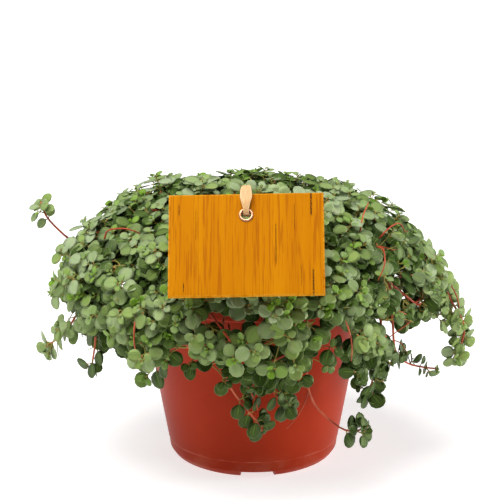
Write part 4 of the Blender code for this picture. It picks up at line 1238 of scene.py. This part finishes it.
def wood_finish():
    """Orange-stained wood with upright grain, dark splits along it and paler worn edges."""
    settings = bpy.context.scene.plant_tag
    graph = Graph("tag_stained_wood", 0.55, Specular_IOR_Level=0.02)
    place = board_place(graph)
    right, up, _ = graph.parts("ShaderNodeSeparateXYZ", Vector=place)
    long_way = graph.stretched(place, (1.0, 0.030, 0.35))
    broad = graph.noise(long_way, 110.0, 2.0)
    fine = graph.noise(long_way, 1300.0, 2.0, 0.6)
    body = graph.mix(broad.ramp(0.32, 0.70), settings.colour[:], settings.light_colour[:])
    body = graph.mix(fine.ramp(0.50, 0.36) * 0.62, body, settings.grain_colour[:])
    body = graph.mix(fine.ramp(0.60, 0.78) * 0.35, body, (0.54, 0.21, 0.003, 1))
    wobble = graph.noise(long_way, 70.0, 3.0)
    first, *others = (crack(right, up, wobble, *row) for row in CRACKS)
    splits = first
    for split in others:
        splits = splits.larger(split)
    splits = splits * graph.noise(place, 1500.0, 2.0).ramp(0.30, 0.52)
    body = graph.mix(splits * 0.92, body, (0.050, 0.016, 0.006, 1))
    edge = abs(right).ramp(TAG_WIDTH / 2 - 0.0011, TAG_WIDTH / 2 - 0.0002)
    edge = edge.larger(abs(up).ramp(TAG_HEIGHT / 2 - 0.0010, TAG_HEIGHT / 2 - 0.0002))
    edge = edge * graph.noise(place, 500.0).ramp(0.30, 0.60)
    body = graph.mix(edge * 0.45, body, (0.68, 0.33, 0.03, 1))
    height = fine * 0.6 - splits * 2.0 + graph.noise(long_way, 260.0, 1.0) * 0.3
    return graph.finish(body, height, 0.00010, Roughness=fine * 0.25 + 0.42)


def eyelet_finish():
    """Copper-pink plated metal with a fine grain and dull spots."""
    graph = Graph("eyelet_copper", 0.30, Metallic=1.0)
    place = graph.place()
    dull = graph.noise(place, 900.0, 4.0)
    body = graph.mix(dull.ramp(0.35, 0.70), (0.72, 0.36, 0.22, 1), (0.52, 0.24, 0.14, 1))
    return graph.finish(body, graph.noise(place, 2600.0, 2.0), 0.00003, Roughness=dull * 0.30 + 0.26)


def strap_finish():
    """Pale tan strap with lengthwise fibres, a soft sheen and paler edges."""
    graph = Graph("strap_fibre", 0.52, Sheen_Weight=0.15, Subsurface_Weight=0.10, Subsurface_Scale=0.002)
    place = graph.place("UV")
    fibre = graph.noise(graph.stretched(place, (26.0, 5.0, 1.0)), 1.6, 4.0, 0.6)
    across = abs(graph.parts("ShaderNodeSeparateXYZ", Vector=place)[0] - 0.5)
    body = graph.mix(fibre.ramp(0.30, 0.70), (0.48, 0.25, 0.085, 1), (0.78, 0.50, 0.23, 1))
    body = graph.mix(across.ramp(0.36, 0.5) * 0.5, body, (0.84, 0.58, 0.32, 1))
    return graph.finish(body, fibre, 0.00016)


def floor_finish():
    """Plain pale floor with a trace of unevenness that glows as painted light, brighter further out."""
    graph = Graph("pale_floor", 0.90, Emission_Color=(1, 1, 1, 1))
    place = graph.place()
    far = graph.add("ShaderNodeVectorMath", "Value", operation="LENGTH", Vector=place)
    body = graph.mix(graph.noise(place, 6.0), (0.54, 0.54, 0.54, 1), (0.57, 0.57, 0.57, 1))
    # Painted light: the floor glows, more strongly further out, which lightens the shadow under the plant and
    # lights it from below
    return graph.finish(body, Emission_Strength=far.ramp(0.2, 1.6) * 0.5 + 0.70)


# Settings


def colour_setting(name, words, value):
    """A linear colour property."""
    return bpy.props.FloatVectorProperty(name=name, description=words, subtype="COLOR", size=4, min=0, max=1,
                                         default=(*value, 1.0))


class LeafSettings(bpy.types.PropertyGroup):
    """Colours of the leaves."""

    grown_colour: colour_setting("Grown leaf", "Colour of a full-grown leaf", (0.174, 0.252, 0.062))
    # Used for waxy silvering and also as painted light on lit leaves
    silver_colour: colour_setting("Silvered leaf", "Colour of a leaf with a waxy bloom",
                                  (0.272, 0.330, 0.208))
    young_colour: colour_setting("Young leaf", "Colour of the leaves at a shoot's tip", (0.134, 0.262, 0.018))


class PotSettings(bpy.types.PropertyGroup):
    """Colours of the pot."""

    colour: colour_setting("Pot", "Main colour of the plastic", (0.290, 0.0188, 0.0024))
    light_colour: colour_setting("Pot mottling", "Lighter cloudy colour in the plastic",
                                 (0.345, 0.0262, 0.0042))


class TagSettings(bpy.types.PropertyGroup):
    """Colours of the wooden tag."""

    colour: colour_setting("Wood", "Main stain of the board", (0.450, 0.148, 0.0003))
    light_colour: colour_setting("Light wood", "Lighter bands of the board", (0.505, 0.184, 0.0006))
    grain_colour: colour_setting("Grain", "Dark grain lines", (0.30, 0.072, 0.0010))


class StageSettings(bpy.types.PropertyGroup):
    """Light of the stage."""

    left_power: bpy.props.FloatProperty(name="Left light", description="Power of the light on the left",
                                        default=5.4, min=0, unit="POWER")
    right_power: bpy.props.FloatProperty(name="Right light", description="Power of the light on the right",
                                         default=16.5, min=0, unit="POWER")
    top_power: bpy.props.FloatProperty(name="Top light", description="Power of the light overhead",
                                       default=29.0, min=0, unit="POWER")
    sky: bpy.props.FloatProperty(name="Surrounding light", description="Strength of the even light all round",
                                 default=0.05, min=0, subtype="FACTOR")


# Operators


class PotOperator(bpy.types.Operator):
    """Make the pot"""

    bl_idname = "plant.pot"
    bl_label = "Pot"

    def execute(self, context):
        make_pot(pot_finish())
        return {"FINISHED"}


class SoilOperator(bpy.types.Operator):
    """Make the compost in the pot"""

    bl_idname = "plant.soil"
    bl_label = "Soil"

    def execute(self, context):
        make_soil(soil_finish())
        return {"FINISHED"}


class TiersOperator(bpy.types.Operator):
    """Make the leafy stems of the dome and the curtain"""

    bl_idname = "plant.tiers"
    bl_label = "Leafy stems"

    def execute(self, context):
        finishes = [leaf_finish("leaf_upper", False), leaf_finish("leaf_under", True), stem_finish()]
        draw = random.Random(SEED)
        stems = (stem for tier in TIERS for stem in tier_stems(tier, draw))
        for number, (name, route, shoots) in enumerate(stems):
            tier_piece(name, route, shoots, finishes, number)
        return {"FINISHED"}


class SprigsOperator(bpy.types.Operator):
    """Make the single sprigs that hang or stand out"""

    bl_idname = "plant.sprigs"
    bl_label = "Sprigs"

    def execute(self, context):
        finishes = [bpy.data.materials[name] for name in ("leaf_upper", "leaf_under", "stem_red")]
        for number, sprig in enumerate(SPRIGS):
            sprig_piece(sprig, finishes, number)
        return {"FINISHED"}


class TagOperator(bpy.types.Operator):
    """Make the wooden tag, its eyelet and the strap that holds it"""

    bl_idname = "plant.tag"
    bl_label = "Tag, eyelet and strap"

    def execute(self, context):
        make_tag(wood_finish())
        make_eyelet(eyelet_finish())
        make_loop(strap_finish())
        return {"FINISHED"}


class StageOperator(bpy.types.Operator):
    """Make the floor, the lights and the camera"""

    bl_idname = "plant.stage"
    bl_label = "Stage"

    def execute(self, context):
        make_floor()
        make_lights(context.scene)
        make_camera(context.scene)
        return {"FINISHED"}


def make_floor():
    """A pale disc that glows: rings of radius r at z = 0, far wider than the view."""
    sides = 64
    profile = [(radius, -0.0001) for radius in (0.02, 0.2, 0.8, 2.5, 6.0)]
    middle = caps(sides, 0, 0)[:sides // 2 - 1]
    faces = np.vstack([grid_faces(len(profile), sides), middle])[:, ::-1]
    disc = plain_patch(turned_grid(profile, even_turns(sides)), faces)
    floor = piece_from("pale_floor", disc, [floor_finish()])


def area_light(name, place, aim, size, power, colour):
    """A soft square light at a place, turned to face an aim."""
    data = bpy.data.lights.new(name, "AREA")
    data.shape = "SQUARE"
    data.size = size
    data.energy = power
    data.color = colour
    item = bpy.data.objects.new(name, data)
    item.location = place
    item.rotation_euler = (Vector(aim) - Vector(place)).to_track_quat("-Z", "Y").to_euler()
    bpy.context.scene.collection.objects.link(item)


def make_lights(scene):
    """A soft light on each side, a stronger one overhead and an even surround."""
    settings = scene.plant_stage
    area_light("left_light", (-1.20, 0.02, 0.08), (0, 0, 0.05), 0.5, settings.left_power, (1.0, 1.0, 1.0))
    area_light("right_light", (1.20, 0.02, 0.12), (0, 0, 0.05), 0.5, settings.right_power, (1.0, 1.0, 1.0))
    area_light("top_light", (-0.24, -0.18, 1.25), (0, 0, 0.10), 1.1, settings.top_power, (1.0, 1.0, 0.98))
    world = bpy.data.worlds.new("pale_surround")
    world.use_nodes = True
    shade = world.node_tree.nodes["Background"]
    shade.inputs["Color"].default_value = (1.0, 1.0, 1.0, 1.0)
    shade.inputs["Strength"].default_value = settings.sky
    scene.world = world
    scene.view_settings.view_transform = "Standard"


def make_camera(scene):
    """The camera at the photo's angle: a long lens, a little above the plant."""
    data = bpy.data.cameras.new("camera")
    data.sensor_width = 36.0
    data.lens = CAMERA_LENS
    data.clip_start = 0.05
    data.clip_end = 50
    item = bpy.data.objects.new("camera", data)
    back = Vector((0, -math.cos(CAMERA_RISE), math.sin(CAMERA_RISE)))
    item.location = Vector(CAMERA_AIM) + back * CAMERA_FAR
    item.rotation_euler = (-back).to_track_quat("-Z", "Y").to_euler()
    scene.collection.objects.link(item)
    scene.camera = item


class PlantPanel(bpy.types.Panel):
    """Lists the steps that build the plant"""

    bl_idname = "VIEW3D_PT_plant"
    bl_label = "Trailing plant"
    bl_space_type = "VIEW_3D"
    bl_region_type = "UI"
    bl_category = "Plant"

    def draw(self, context):
        for operator in OPERATORS:
            self.layout.operator(operator.bl_idname)
        for group in GROUPS:
            settings = getattr(context.scene, group)
            box = self.layout.box()
            for name in settings.__annotations__:
                box.prop(settings, name)


OPERATORS = (PotOperator, SoilOperator, TiersOperator, SprigsOperator, TagOperator, StageOperator)
GROUPS = {"plant_leaves": LeafSettings, "plant_pot": PotSettings, "plant_tag": TagSettings,
          "plant_stage": StageSettings}


def register():
    """Register the classes and put the settings on the scene."""
    for made in (*GROUPS.values(), *OPERATORS, PlantPanel):
        bpy.utils.register_class(made)
    for name, group in GROUPS.items():
        setattr(bpy.types.Scene, name, bpy.props.PointerProperty(type=group))


def unregister():
    """Take the settings and the classes away again."""
    for name in GROUPS:
        delattr(bpy.types.Scene, name)
    for made in (PlantPanel, *reversed(OPERATORS), *reversed(tuple(GROUPS.values()))):
        bpy.utils.unregister_class(made)


def main():
    """Register the add-on and build everything in order."""
    register()
    for step in ("pot", "soil", "tiers", "sprigs", "tag", "stage"):
        getattr(bpy.ops.plant, step)()


if __name__ == "__main__":
    main()
